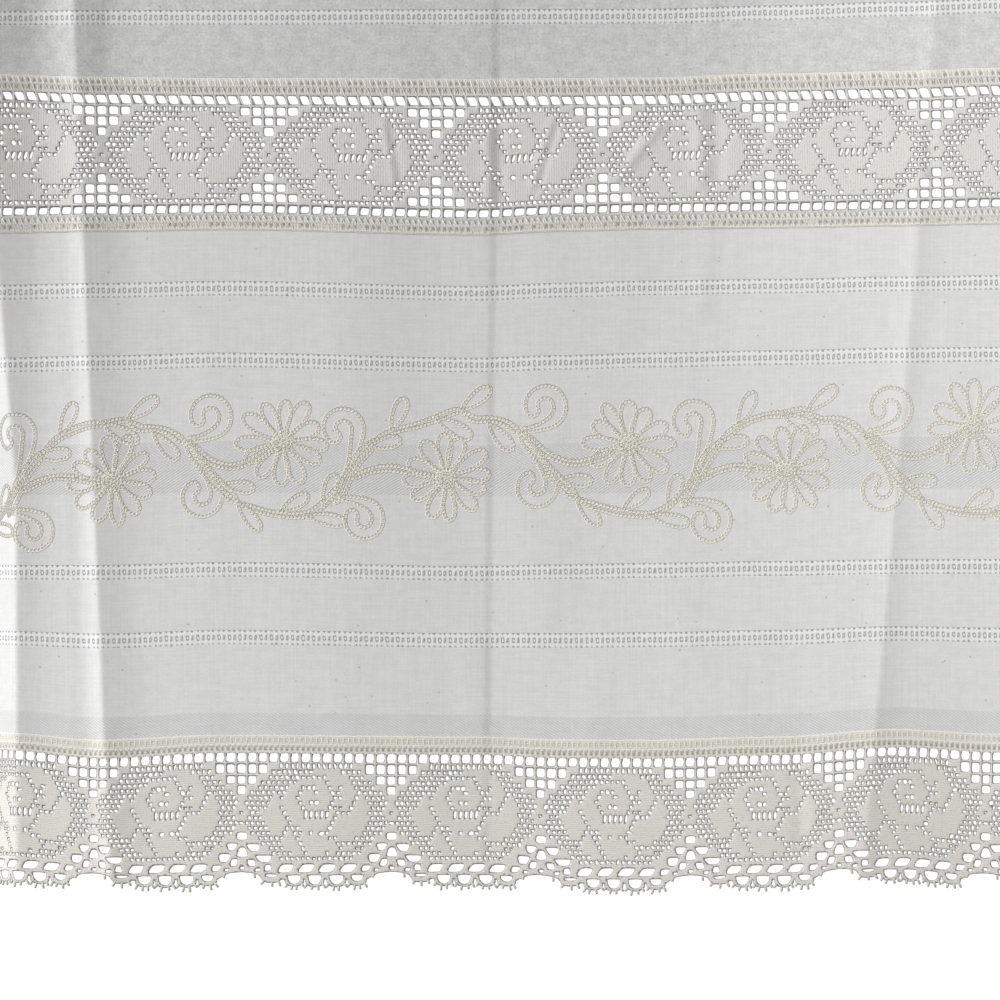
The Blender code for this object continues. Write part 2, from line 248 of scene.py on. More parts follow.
plus, minus, times, over, timesPlus, power, lesser, greater, isBelow, isAbove, sine, sign, root = (
    nodeMaker("ShaderNodeMath", name) for name in (
        "ADD", "SUBTRACT", "MULTIPLY", "DIVIDE", "MULTIPLY_ADD", "POWER", "MINIMUM", "MAXIMUM",
        "LESS_THAN", "GREATER_THAN", "SINE", "SIGN", "SQRT"))
vectorPlus, vectorMinus, vectorTimes, unitVector = (
    nodeMaker("ShaderNodeVectorMath", name) for name in ("ADD", "SUBTRACT", "MULTIPLY", "NORMALIZE"))


def vectorOf(tree, x=0.0, y=0.0, z=0.0):
    return first(tree, "ShaderNodeCombineXYZ", {0: x, 1: y, 2: z})


def addObject(name, data):
    made = bpy.data.objects.new(name, data)
    bpy.context.scene.collection.objects.link(made)
    return made


def meshFrom(name, points, faces=(), **attributes):
    mesh = bpy.data.meshes.new(name)
    mesh.from_pydata([tuple(map(float, p)) for p in points], [], [tuple(map(int, f)) for f in faces])
    for label, values in attributes.items():
        values = np.array(values)
        kind = "FLOAT_VECTOR" if values.ndim == 2 else "INT" if values.dtype.kind == "i" else "FLOAT"
        values = values.astype(np.int32 if kind == "INT" else np.float32)
        held = mesh.attributes.new(label, kind, "POINT").data
        held.foreach_set("vector" if values.ndim == 2 else "value", values.ravel())
    return mesh


# Cut of the cloth panels

clothCut = {
    "halfThickness": 0.25, "hemFold": 0.9, "hemStep": 0.6, "topHem": 25.0, "sideHem": 8.0,
    "upperFoot": 159.0, "lowerTop": 230.1, "lowerFoot": 553.2,
    "columnStep": 5.0, "rowStep": 5.0,
    "finestStep": 0.6, "closest": 0.55,      # the nearest that two columns come, as a share of a step
    "narrowBend": 30.0, "sharpBend": 6.0, "bendSteps": 8,      # columns across a narrow bend
    "edgeRow": 0.35, "edgeColumn": 0.55,      # lines close to each cut edge keep its shading narrow
}


# Materials

def cutPlace(tree):
    # the cut's own place in millimetres: x from the left edge, y up from the foot, and the drop
    uv = first(tree, "ShaderNodeUVMap", uv_map="cut")
    place = first(tree, "ShaderNodeMapping", {"Vector": uv, "Scale": (panel["width"], panel["length"], 1)})
    x, y, _ = addNode(tree, "ShaderNodeSeparateXYZ", {0: place}).outputs
    return place, x, y, minus(panel["length"], y)


def wave(along, pitch):
    return timesPlus(sine(times(along, 2 * math.pi / pitch)), 0.5, 0.5)


def ramp(value, low, high, start=0.0, end=1.0):
    return first(value.id_data, "ShaderNodeMapRange", {0: value, 1: low, 2: high, 3: start, 4: end})


def between(value, low, high, soft):
    return minus(ramp(value, low - soft, low + soft), ramp(value, high - soft, high + soft))


def noise(vector, scale, detail=2.0, stretch=None):
    if stretch:
        vector = vectorTimes(vector, stretch)
    values = {"Vector": vector, "Scale": scale, "Detail": detail}
    return addNode(vector.id_data, "ShaderNodeTexNoise", values).outputs["Fac"]


def shade(colour, factor, tint):
    values = {0: factor, 6: colour, 7: (*tint, 1)}
    return addNode(factor.id_data, "ShaderNodeMix", values, data_type="RGBA").outputs[2]


def newMaterial(name, roughness, sheen):
    material = bpy.data.materials.new(name)
    material.use_nodes = True
    shader = material.node_tree.nodes["Principled BSDF"]
    for label, value in (("Roughness", roughness), ("Sheen Weight", sheen), ("Sheen Roughness", 0.5),
                         ("Specular IOR Level", 0.2)):
        shader.inputs[label].default_value = value
    return material, material.node_tree, shader


def useColour(tree, shader, colour, height, soft=0.0):
    tree.links.new(colour, shader.inputs["Base Color"])
    bump = addNode(tree, "ShaderNodeBump", {"Height": height, "Strength": 1.0, "Distance": mm})
    if soft:                     # thin loose thread is shaded partly as the cloth that it lies on
        own = addNode(tree, "ShaderNodeNewGeometry").outputs["Normal"]
        mixed = addNode(tree, "ShaderNodeMix", {0: soft, 4: own, 5: (0, -1, 0)}, data_type="VECTOR")
        tree.links.new(unitVector(mixed.outputs[1]), bump.inputs["Normal"])
    tree.links.new(bump.outputs[0], shader.inputs["Normal"])


# A ramp here is: from, to, and what these two become
clothLook = {
    "colour": (0.795, 0.79, 0.775), "roughness": 0.85, "sheen": 0.12,
    "slubTint": (0.54, 0.54, 0.54), "twillTint": (0.52, 0.525, 0.535), "fleckTint": (0.33, 0.28, 0.23),
    "slubsAcross": (0.03, 0.9, 1), "slubsDown": (0.8, 0.02, 1), "slubs": (0.38, 0.62, 0.0, 0.22),
    "grain": (0.32, 0.68, 0.0, 0.2), "blotches": (0.35, 0.65, 0.0, 0.12),
    "upperGrain": 2.8,        # the upper panel is the more uneven one, and its stronger grain also paints shade that darkens it
    "grainScale": 0.7, "blotchScale": 0.16, "unevenScale": 0.5,      # to a millimetre: higher is finer
    "weavePitch": 0.47, "weaveHeight": 0.03, "unevenHeight": 0.05,
    "fleckSpacing": 8.0, "fleckSize": 0.05, "fleckShare": 0.45, "fleckStrength": 0.55,
    "chevron": (366.6, 397.8), "chevronApex": 381.6, "twillBand": (529.8, 546.0), "twillEdge": 0.6,
    "turnBack": 20.0,         # how far above the band at the foot the ridges turn back
    "twillPitch": 1.66,       # down the cloth
    "twillSlope": 0.62, "twillHeight": 0.08, "twillShade": 0.85, "twillPower": 3.2,
}


def clothMaterial():
    look = clothLook
    material, tree, shader = newMaterial("cottonCloth", look["roughness"], look["sheen"])
    place, x, y, drop = cutPlace(tree)
    weave = times(wave(x, look["weavePitch"]), wave(y, look["weavePitch"]))
    # twill ridges, which turn over at the chevron's apex and turn back for the band at the foot
    side = sign(minus(look["chevronApex"], drop))
    side = timesPlus(isAbove(drop, look["twillBand"][0] - look["turnBack"]), 2.0, side)
    ridge = wave(minus(drop, times(times(side, x), look["twillSlope"])), look["twillPitch"])
    inTwill = greater(*(between(drop, *look[band], look["twillEdge"]) for band in ("chevron", "twillBand")))
    ridge = times(ridge, inTwill)
    slubs = plus(*(times(noise(place, 1.0, 2.0, look[way]), 0.5) for way in ("slubsAcross", "slubsDown")))
    grain, blotches = noise(place, look["grainScale"], detail=3.0), noise(place, look["blotchScale"])
    grain = plus(ramp(grain, *look["grain"]), ramp(blotches, *look["blotches"]))
    stronger = timesPlus(isBelow(drop, clothCut["upperFoot"] + 1), look["upperGrain"] - 1, 1.0)
    grain = times(grain, stronger)
    colour = shade((*look["colour"], 1), plus(ramp(slubs, *look["slubs"]), grain), look["slubTint"])
    # painted shade: the hollows between the twill ridges are darkened
    hollow = times(power(minus(inTwill, ridge), look["twillPower"]), look["twillShade"])
    colour = shade(colour, hollow, look["twillTint"])
    values = {"Vector": place, "Scale": 1 / look["fleckSpacing"], "Randomness": 1.0}
    flecks = addNode(tree, "ShaderNodeTexVoronoi", values).outputs
    chosen = isAbove(first(tree, "ShaderNodeSeparateColor", {0: flecks["Color"]}), 1 - look["fleckShare"])
    near = ramp(flecks["Distance"], look["fleckSize"], look["fleckSize"] * 2, look["fleckStrength"], 0.0)
    colour = shade(colour, times(near, chosen), look["fleckTint"])
    height = plus(times(weave, look["weaveHeight"]), times(ridge, look["twillHeight"]))
    uneven = noise(place, look["unevenScale"], detail=4.0)
    height = plus(height, times(uneven, look["unevenHeight"]))
    useColour(tree, shader, colour, height)
    return material


# Threads: pitch of the strands, whether these run across, how much painted shade the rims and gaps take and
# its colour, the drops of the creamier bands and of the edges without painted rim shade, and how far the
# thread is shaded as its cloth
threadLooks = {
    "insertion": {"colour": (0.78, 0.77, 0.735), "pitch": 1.45, "across": False, "rim": 0.85, "rimPower": 1.4,
                  "bands": ((148, 158.6), (231.2, 241)), "gaps": 0.3, "plainEdges": (148.8, 240.1)},
    "edging": {"colour": (0.77, 0.75, 0.695), "pitch": 1.3, "rim": 0.85, "rimPower": 1.4,
               "bands": ((542, 554),), "gaps": 0.25, "plainEdges": (543.4,)},
    "heading": {"colour": (0.91, 0.88, 0.79), "hollow": (0.68, 0.645, 0.565), "soft": 0.4},
    "stripe": {"colour": (0.91, 0.915, 0.905), "hollow": (0.20, 0.205, 0.205), "pitch": 0.9,
               "across": False, "rim": 1.0, "rimPower": 3.6},
    "picot": {"colour": (0.60, 0.58, 0.545)},
    "vine": {"colour": (0.985, 0.955, 0.835), "hollow": (0.78, 0.745, 0.63), "pitch": 0.7, "soft": 0.7},
}
# the lace's colour of painted shade in its hollows, and the creamier headings' own colour
laceHollowShade, creamTint = (0.25, 0.245, 0.23), (0.88, 0.845, 0.745)
threadForm = {
    "roughness": 0.8, "sheen": 0.15,
    "wander": 1.6, "wanderScale": 0.35, "fluffScale": 1.6, "gapScale": 0.9, "gaps": (0.58, 0.72),
    "twist": 0.45,           # pitch of the twist, as a share of the strands' pitch
    "strandHeight": 0.07, "twistHeight": 0.025, "fluffHeight": 0.05, "strandShade": 0.1, "fluffShade": 0.1,
    "bandSoft": 0.4, "plainReach": 0.8, "plainSoft": 0.1,
}


# hollow is the colour of the painted shade at rims, in pits, in grooves and in gaps
def threadMaterial(name, colour, hollow=laceHollowShade, pitch=1.2, across=True, rim=0.0, rimPower=2.0, bands=(),
                   gaps=0.0, plainEdges=(), soft=0.0):
    form, reach = threadForm, threadForm["plainReach"]
    material, tree, shader = newMaterial(name, form["roughness"], form["sheen"])
    place, x, y, drop = cutPlace(tree)
    wander = times(noise(place, form["wanderScale"]), form["wander"])
    strand = wave(plus(y if across else x, wander), pitch)
    twist = wave(plus(plus(x, y), wander), pitch * form["twist"])
    fluff = noise(place, form["fluffScale"], detail=3.0)
    # painted shade in the grooves between strands and in the gaps between stitches, with the fluff's own
    # uneven tone
    dark = plus(times(minus(1.0, strand), form["strandShade"]), times(fluff, form["fluffShade"]))
    dark = plus(dark, ramp(noise(place, form["gapScale"], detail=1.0), *form["gaps"], 0.0, gaps))
    # painted shade at the rims of the openings and in the pits, from the rim mark
    rims = addNode(tree, "ShaderNodeAttribute", attribute_name="rim").outputs["Fac"]
    rims = times(power(rims, rimPower), rim)
    for edge in plainEdges:
        rims = times(rims, minus(1.0, between(drop, edge - reach, edge + reach, form["plainSoft"])))
    unshaded = (*colour, 1)
    for low, high in bands:
        unshaded = shade(unshaded, between(drop, low, high, form["bandSoft"]), creamTint)
    height = plus(times(strand, form["strandHeight"]), times(twist, form["twistHeight"]))
    height = plus(height, times(fluff, form["fluffHeight"]))
    useColour(tree, shader, shade(unshaded, lesser(plus(dark, rims), 1.0), hollow), height, soft)
    return material


materials = {"cloth": clothMaterial()}
for name, look in threadLooks.items():
    materials[name] = threadMaterial(name + "Thread", **look)
print("materials ready")


# Unit cells of open work, one unit wide and high, which a tree sizes and joins. Each has its points across
# and down, the squareness of its hole, and the depth of a closed hole's pit at its ring and in the middle,
# which also sets its painted shade.

cellShapes = {
    "hole": (2, 2, 2.4), "solid": (2, 2), "half": (1, 2), "square": (4, 4, 6), "ladder": (4, 2, 6),
    "dimple": (2, 2, 2.2, (0.85, 1.0)), "tall": (2, 4, 2.4), "button": (2, 2, 2.2, (0.5, 0.1)),
    "round": (4, 2, 4.0), "loop": (2, 4, 2.2, (1.0, 0.0)),
}


def unitCell(name, across, down, squareness=0, pits=()):
    if not squareness:
        wide = across + 1
        points = [(-0.5 + i / across, -0.5 + j / down, 0) for j in range(down + 1) for i in range(wide)]
        faces = [(j * wide + i, j * wide + i + 1, (j + 1) * wide + i + 1, (j + 1) * wide + i)
                 for j in range(down) for i in range(across)]
        flat = [0.0] * len(points)
        return meshFrom(name, points, faces, ring=flat, pit=flat)
    outer = [(-0.5 + i / across, -0.5) for i in range(across)] + [(0.5, -0.5 + i / down) for i in range(down)]
    outer += [(-x, -y) for x, y in outer]
    sizes = [(abs(x) ** squareness + abs(y) ** squareness) ** (1 / squareness) for x, y in outer]
    inner = [(x * 0.5 / size, y * 0.5 / size) for (x, y), size in zip(outer, sizes)]
    count = len(outer)
    faces = [(i, (i + 1) % count, count + (i + 1) % count, count + i) for i in range(count)]
    points = [(x, y, 0) for x, y in outer + inner + [(0, 0)] * bool(pits)]
    if pits:
        faces += [(count + i, count + (i + 1) % count, 2 * count) for i in range(count)]
    atRing, atMiddle = pits or (0.0, 0.0)
    ring = [0.0] * count + [1.0] * (len(points) - count)
    pit = [0.0] * count + [atRing] * count + [atMiddle] * bool(pits)
    return meshFrom(name, points, faces, ring=ring, pit=pit)


cellKinds = {name: i for i, name in enumerate(cellShapes)}
cellBox = bpy.data.collections.new("unitCells")
for name, number in cellKinds.items():
    mesh = unitCell(name, *cellShapes[name])
    cellBox.objects.link(bpy.data.objects.new("cell%d" % number, mesh))


# Trees

def newTree(name, sockets):
    # a socket has a default number, or else the word for what it holds
    tree = bpy.data.node_groups.new(name, "GeometryNodeTree")
    tree.interface.new_socket("Geometry", in_out="INPUT", socket_type="NodeSocketGeometry")
    for label, value in (*sockets.items(), ("Material", "Material")):
        kind = value if isinstance(value, str) else type(value).__name__.title()
        socket = tree.interface.new_socket(label, in_out="INPUT", socket_type="NodeSocket" + kind)
        if kind != value:
            socket.default_value = value
    tree.interface.new_socket("Geometry", in_out="OUTPUT", socket_type="NodeSocketGeometry")
    return tree, tree.nodes.new("NodeGroupInput").outputs


def endTree(geometry, given):
    tree = geometry.id_data
    whole = first(tree, "GeometryNodeRealizeInstances", {"Geometry": geometry})
    dressed = first(tree, "GeometryNodeSetMaterial", {"Geometry": whole, "Material": given["Material"]})
    tree.links.new(dressed, tree.nodes.new("NodeGroupOutput").inputs[0])
    return tree


def runTree(source, tree, values, name):
    modifier = source.modifiers.new(tree.name, "NODES")
    modifier.node_group = tree
    for item in tree.interface.items_tree:
        if item.in_out == "INPUT" and item.name in values:
            modifier[item.identifier] = values[item.name]
    evaluated = source.evaluated_get(bpy.context.evaluated_depsgraph_get())
    mesh = bpy.data.meshes.new_from_object(evaluated)
    mesh.name = name
    bpy.data.objects.remove(source)
    return addObject(name, mesh)


def named(tree, attribute, kind="FLOAT"):
    return first(tree, "GeometryNodeInputNamedAttribute", {"Name": attribute}, data_type=kind)


def store(geometry, label, value, kind="FLOAT"):
    return first(geometry.id_data, "GeometryNodeStoreNamedAttribute",
                 {"Geometry": geometry, "Name": label, "Value": value}, data_type=kind, domain="POINT")


def moved(geometry, **where):
    return first(geometry.id_data, "GeometryNodeSetPosition", {"Geometry": geometry, **where})


def weldedJoin(given, *parts, **where):
    tree = parts[0].id_data
    both = addNode(tree, "GeometryNodeJoinGeometry")
    for part in parts:
        tree.links.new(part, both.inputs[0])
    whole = moved(both.outputs[0], **where) if where else both.outputs[0]
    return first(tree, "GeometryNodeMergeByDistance", {"Geometry": whole, "Distance": given["Weld"]})


def onPoints(points, piece, **more):
    tree = points.id_data
    piece = addNode(tree, "GeometryNodeObjectInfo", {"Object": piece}).outputs["Geometry"]
    return first(tree, "GeometryNodeInstanceOnPoints", {"Points": points, "Instance": piece, **more})


def cellTree():
    # puts a sized cell on each point, as one flat layer joined to an extra piece
    tree, given = newTree("openWorkCells", {"Cells": "Collection", "Extra": "Object", "Wander": 0.2,
                                            "Wander Size": 6.0, "Weld": 0.02})
    here = first(tree, "GeometryNodeInputPosition")
    stored = store(given["Geometry"], "centre", here, "FLOAT_VECTOR")
    cells = first(tree, "GeometryNodeCollectionInfo",
                  {"Collection": given["Cells"], "Separate Children": True, "Reset Children": True})
    layer = first(tree, "GeometryNodeInstanceOnPoints",
                  {"Points": stored, "Instance": cells, "Pick Instance": True,
                   "Instance Index": named(tree, "kind", "INT")})
    layer = first(tree, "GeometryNodeRealizeInstances", {"Geometry": layer})
    centre, size, hole, shift = (named(tree, label, "FLOAT_VECTOR")
                                 for label in ("centre", "cellSize", "holeSize", "holeShift"))
    local = vectorMinus(here, centre)
    edge = vectorTimes(local, size)
    rim = vectorTimes(local, vectorTimes(hole, (1, 1, 0)))
    parts, sizes = (addNode(tree, "ShaderNodeSeparateXYZ", {0: v}).outputs for v in (local, hole))
    leaned = vectorPlus(vectorPlus(rim, vectorOf(tree, times(parts[1], sizes[2]))), shift)
    chosen = addNode(tree, "ShaderNodeMix", {0: named(tree, "ring"), 4: edge, 5: leaned}, data_type="VECTOR")
    sized = moved(layer, Position=vectorPlus(centre, chosen.outputs[1]))
    extra = addNode(tree, "GeometryNodeObjectInfo", {"Object": given["Extra"]}).outputs["Geometry"]
    # hand-made unevenness: points that two cells share wander alike
    field = addNode(tree, "ShaderNodeTexNoise", {"Scale": over(1.0, given["Wander Size"]), "Vector": here})
    shift = vectorTimes(vectorMinus(field.outputs["Color"], (0.5, 0.5, 0.5)),
                        vectorOf(tree, given["Wander"], given["Wander"]))
    return endTree(weldedJoin(given, extra, sized, Offset=shift), given)


def threadTree():
    # rounds a flat layer with holes into thread: thin at its rims, full between them, and the same behind
    tree, given = newTree("roundThread", {"Half Thickness": 0.45, "Rounding": 0.9, "Pit Depth": 0.3,
                                          "Height": 0.0, "Weld": 0.01})
    count = first(tree, "GeometryNodeInputMeshEdgeNeighbors")
    alone = first(tree, "FunctionNodeCompare", {2: count, 3: 1}, data_type="INT", operation="EQUAL")
    rims = first(tree, "GeometryNodeSeparateGeometry", {"Geometry": given["Geometry"], "Selection": alone},
                 domain="EDGE")
    off = addNode(tree, "GeometryNodeProximity", {0: rims}, target_element="EDGES").outputs["Distance"]
    rim = minus(1.0, lesser(over(off, given["Rounding"]), 1.0))
    full, pit = root(minus(1.0, times(rim, rim))), named(tree, "pit")
    # the rim mark, high at the rims and in the pits, is where the materials paint shade
    marked = store(store(given["Geometry"], "rim", greater(rim, pit)), "full", full)
    thick = times(named(tree, "full"), given["Half Thickness"])
    rised = minus(thick, times(pit, given["Pit Depth"]))
    front = moved(marked, Offset=vectorOf(tree, z=plus(rised, given["Height"])))
    back = moved(marked, Offset=vectorOf(tree, z=minus(given["Height"], thick)))
    back = first(tree, "GeometryNodeFlipFaces", {0: back})
    return endTree(weldedJoin(given, back, front), given)


def spun(given, before=None):
    # a turn about z, of a given angle or none, with a little wobble
    tree, wobble = given["Wobble"].id_data, given["Wobble"]
    values = {"Seed": given["Seed"], 2: minus(0.0, wobble), 3: wobble}
    turn = addNode(tree, "FunctionNodeRandomValue", values, data_type="FLOAT").outputs[1]
    turn = plus(before, turn) if before else turn
    return first(tree, "FunctionNodeEulerToRotation", {0: vectorOf(tree, z=turn)})


def stitchTree():
    # lays links of thread along curves, one to each stitch length
    tree, given = newTree("laidStitches", {"Link": "Object", "Stitch": 2.3, "Wobble": 0.12, "Seed": 5})
    even = first(tree, "GeometryNodeResampleCurve", {"Curve": given["Geometry"], "Length": given["Stitch"]},
                 mode="LENGTH")
    ahead = first(tree, "GeometryNodeInputTangent")
    along = first(tree, "FunctionNodeAlignRotationToVector", {"Vector": ahead}, axis="X", pivot_axis="Z")
    rotated = first(tree, "FunctionNodeRotateRotation", {0: along, 1: spun(given)}, rotation_space="LOCAL")
    return endTree(onPoints(even, given["Link"], Rotation=rotated), given)


def placeTree():
    # puts a thread on each point, turned and sized as the point says
    tree, given = newTree("placedThreads", {"Piece": "Object", "Wobble": 0.06, "Seed": 3})
    rotated = spun(given, named(tree, "turn"))
    size = named(tree, "size", "FLOAT_VECTOR")
    return endTree(onPoints(given["Geometry"], given["Piece"], Scale=size, Rotation=rotated), given)


trees = {"cells": cellTree(), "thread": threadTree(), "stitch": stitchTree(), "place": placeTree()}
print("trees ready")


# A field of cells: each has a kind, a centre, a size, and the size, lean and shift of its hole

handVary = {"lean": 0.8, "shift": 0.7}       # beside the share by which a hole's size varies
widestHole = 0.86                            # as a share of its cell


class CellField:
    def __init__(self, seed):
        self.rng = np.random.default_rng(seed)
        self.kinds, self.centres, self.sizes, self.holes, self.shifts = [], [], [], [], []

    def add(self, kind, left, right, top, foot, hole=(0, 0, 0), shift=(0, 0), vary=0.0):
        wide, high, lean = hole
        if vary:
            wide *= 1 + self.rng.normal(0, vary)
            high *= 1 + self.rng.normal(0, vary)
            lean += self.rng.normal(0, vary * handVary["lean"])
            shift = [place + self.rng.normal(0, vary * handVary["shift"]) for place in shift]
        self.kinds.append(cellKinds[kind])
        self.centres.append(((left + right) / 2, -(top + foot) / 2, 0))
        self.sizes.append((right - left, foot - top, 0))
        wide, high = min(wide, (right - left) * widestHole), min(high, (foot - top) * widestHole)
        self.holes.append((wide, high, lean))
        self.shifts.append((shift[0], -shift[1], 0))

    def made(self, name, material, wander, form, extra=None):
        mesh = meshFrom(name, self.centres, cellSize=self.sizes, holeSize=self.holes, holeShift=self.shifts,
                        kind=self.kinds)
        values = {"Cells": cellBox, "Wander": wander, "Material": material}
        if extra:
            values["Extra"] = extra
        layer = runTree(addObject(name + "Points", mesh), trees["cells"], values, name)
        if extra:
            bpy.data.objects.remove(extra)
        return runTree(layer, trees["thread"], {**form, "Material": material}, name)


def addPiece(made, slot, smooth=True):
    hang(made.data)
    if smooth:
        made.data.shade_smooth()
    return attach(made, "root")


# Cloth panels

stripeCut = {
    "drops": (112.2, 275.7, 318.9, 444.0, 484.8),
    "half": 5.3, "lap": 1.0,
    "dotRow": 2.6,         # height of the rows of dots above and below
    "pair": 6.3,           # pitch of the pairs of openings
    "toPair": 0.17,        # how far the two of a pair lie towards each other
    "ovals": ((1.6, 2.7), (0.65, 2.2)),   # width and height of the two of a pair
    "lean": 0.5, "ovalVary": 0.14,
    "dots": (0.55, 1.05), "dotVary": 0.15,      # over the first and the second of a pair
    "lowDot": 0.65, "lowDotVary": 0.2, "dotShift": 0.3,
    "wander": 0.25,
    "form": {"Half Thickness": 0.2, "Rounding": 0.5, "Pit Depth": 0.2, "Height": 0.12},
}
innerEdge = halfPanel - clothCut["sideHem"]


def movedColumns(drop):
    # the sharp creases' places at the top edge, and at this drop: the columns move with them
    still = innerEdge - 1
    sharp = [c for c in creases if c.width < clothCut["sharpBend"] and "into" not in c.name]
    return [[-halfPanel, -still, *places, still, halfPanel]
            for places in ([c.top for c in sharp], [creasePlace(c, drop) for c in sharp])]


def clothColumns():
    # places of the columns at the top edge, close together in the bends
    places = [-halfPanel, halfPanel]

    def put(wanted, gap):
        for place in wanted:
            if abs(place) < halfPanel and min(abs(place - other) for other in places) > gap:
                places.append(place)

    insets = clothCut["edgeColumn"], clothCut["sideHem"], clothCut["sideHem"] + clothCut["hemStep"]
    for side in (-1, 1):
        put([side * (halfPanel - inset) for inset in insets], 0.1)
    for crease in sorted(creases, key=lambda crease: crease.width):
        if crease.width < clothCut["narrowBend"]:
            step = max(clothCut["finestStep"], crease.width / clothCut["bendSteps"])
            for drop in (0, panel["length"] / 2, panel["length"]):
                middle, reach = creasePlace(crease, drop), crease.width / 2 + step * 2
                top, there = movedColumns(drop)
                inBend = np.interp(np.arange(middle - reach, middle + reach, step), there, top)
                put(inBend, step * clothCut["closest"])
    put(np.arange(-halfPanel, halfPanel, clothCut["columnStep"]), clothCut["columnStep"] / 2)
    return np.array(sorted(places))


def bandMesh(top, foot, topHem, columns):
    # one closed band of cloth between two drops: its points, its faces and the faces of its cut edges
    count = max(1, math.ceil((foot - top) / clothCut["rowStep"]))
    drops = [*np.linspace(top, foot, count + 1), top + clothCut["edgeRow"], foot - clothCut["edgeRow"]]
    if topHem:
        drops += [clothCut["topHem"] + 0.01, clothCut["topHem"] + clothCut["hemStep"]]
    drops = sorted(drops)
    points = []
    for z in (clothCut["halfThickness"], -clothCut["halfThickness"]):
        for drop in drops:
            for place in np.interp(columns, *movedColumns(drop)):
                hemmed = halfPanel - abs(place) < clothCut["sideHem"] + 0.1
                hemmed = hemmed or (topHem and drop < clothCut["topHem"] + 0.1)
                points.append((place, -drop, z - clothCut["hemFold"] if hemmed and z < 0 else z))
    wide, high = len(columns), len(drops)
    behind = wide * high
    faces = []
    for j in range(high - 1):
        for a in range(j * wide, (j + 1) * wide - 1):
            b = a + wide
            faces.append((a, b, b + 1, a + 1))
            faces.append((behind + a, behind + a + 1, behind + b + 1, behind + b))
    edge = [*range(wide), *range(2 * wide - 1, behind, wide)]
    edge += [*range(behind - 2, behind - wide - 1, -1), *range(behind - 2 * wide, 0, -wide)]
    return points, faces, [(a, b, behind + b, behind + a) for a, b in zip(edge, edge[1:] + edge[:1])]


def clothPanel(name, top, foot, topHem):
    reach = stripeCut["half"] - stripeCut["lap"]
    inside = [drop for drop in stripeCut["drops"] if top < drop < foot]
    edges = [top, *(drop + way * reach for drop in inside for way in (-1, 1)), foot]
    columns = clothColumns()
    bands = [(band, columns) for band in zip(edges[::2], edges[1::2])]
    for band in zip(edges[1:-1:2], edges[2:-1:2]):      # the side hems pass the stripes uncut
        bands += [(band, columns[columns < 0.05 - innerEdge]), (band, columns[columns > innerEdge - 0.05])]
    points, faces, smooth = [], [], []
    for (bandTop, bandFoot), places in bands:
        more, quads, sides = bandMesh(bandTop, bandFoot, topHem and bandTop == 0, places)
        faces += [tuple(i + len(points) for i in quad) for quad in quads + sides]
        smooth += [True] * len(quads) + [False] * len(sides)
        points += more
    mesh = meshFrom(name, points, faces)
    mesh.polygons.foreach_set("use_smooth", smooth)
    mesh.materials.append(materials["cloth"])
    return addObject(name, mesh)


def drawnStripes(name, above, below):
    cut, field = stripeCut, CellField(seed=21)
    count = round(2 * innerEdge / cut["pair"]) * 2
    pitch = 2 * innerEdge / count
    for drop in cut["drops"]:
        if not above < drop < below:
            continue
        levels = (drop - cut["half"], drop - cut["half"] + cut["dotRow"],
                  drop + cut["half"] - cut["dotRow"], drop + cut["half"])
        rows = list(zip(levels, levels[1:]))
        for start in (-innerEdge - pitch / 2, -innerEdge + count * pitch):
            for row in rows:
                field.add("half", start, start + pitch / 2, *row)
        for i in range(count):
            ends, second = (-innerEdge + i * pitch, -innerEdge + (i + 1) * pitch), i % 2
            toPair, lean = (-cut["toPair"], cut["lean"]) if second else (cut["toPair"], -cut["lean"])
            dot, low, shift = cut["dots"][second], cut["lowDot"], cut["dotShift"]
            # dimples whose pits take painted shade stand for the small dark holes
            field.add("dimple", *ends, *rows[0], (dot, dot, 0), (toPair, shift), cut["dotVary"])
            field.add("loop", *ends, *rows[1], (*cut["ovals"][second], lean), (toPair, 0), cut["ovalVary"])
            field.add("dimple", *ends, *rows[2], (low, low, 0), (toPair, -shift), cut["lowDotVary"])
    return field.made(name, materials["stripe"], cut["wander"], cut["form"])


upperCloth = clothPanel("upperCloth", 0, clothCut["upperFoot"], True)
lowerCloth = clothPanel("lowerCloth", clothCut["lowerTop"], clothCut["lowerFoot"], False)
upperStripe = drawnStripes("upperStripe", 0, clothCut["upperFoot"])
lowerStripes = drawnStripes("lowerStripes", clothCut["lowerTop"], clothCut["lowerFoot"])
print("cloth and stripes ready")


# Filet lace

laceForm = {
    "cells": 28, "cord": 0.7, "thread": {"Half Thickness": 0.16, "Rounding": 0.7, "Height": 0.5},
    "vary": {"heading": 0.12, "ladder": 0.06, "slot": 0.07, "square": 0.05, "hole": 0.17},
    "holeLean": 0.35, "chartStep": 1.79, "fullHole": 0.88, "slotDrop": 0.7, "squareRim": 1.5,
}

# Holes are given by width, height and lean
insertion = {
    "centre": -38.5,       # place of one open triangle
    "repeat": 100.4, "wander": 0.55,
    "top": 149.4, "headingRows": (153.9, 158.5), "bodyTop": 166.1, "rowHigh": 3.06, "firstRowsHigh": 3.06,
    "ladderFoot": 231.3, "footRows": (235.4, 239.4),
    "headingHoles": ((1.1, 0.9, -0.5), (1.4, 1.3, -0.2), (1.25, 1.0, -0.2), (1.1, 0.9, -0.4)),
    "ladderHole": (5.4, 5.0, -1.7), "lowerLadderHole": (5.3, 4.1, 0.5), "squareHole": (5.2, 4.9, -0.2),
    "slotLean": 1.3,
}
edging = {
    "centre": -65.4,       # place of one notch of the scallops
    "repeat": 89.8, "wander": 0.5,
    "top": 544.0, "headingRows": (549.0, 553.8), "bodyTop": 560.2, "rowHigh": 3.0, "firstRowsHigh": 3.55,
    "headingHoles": ((1.5, 1.6, -0.1), (1.0, 0.9, 0.0)),
    "ladderHole": (5.05, 5.2, 0.4), "squareHole": (4.6, 5.2, 0),
    "slotLean": 0.3,
}
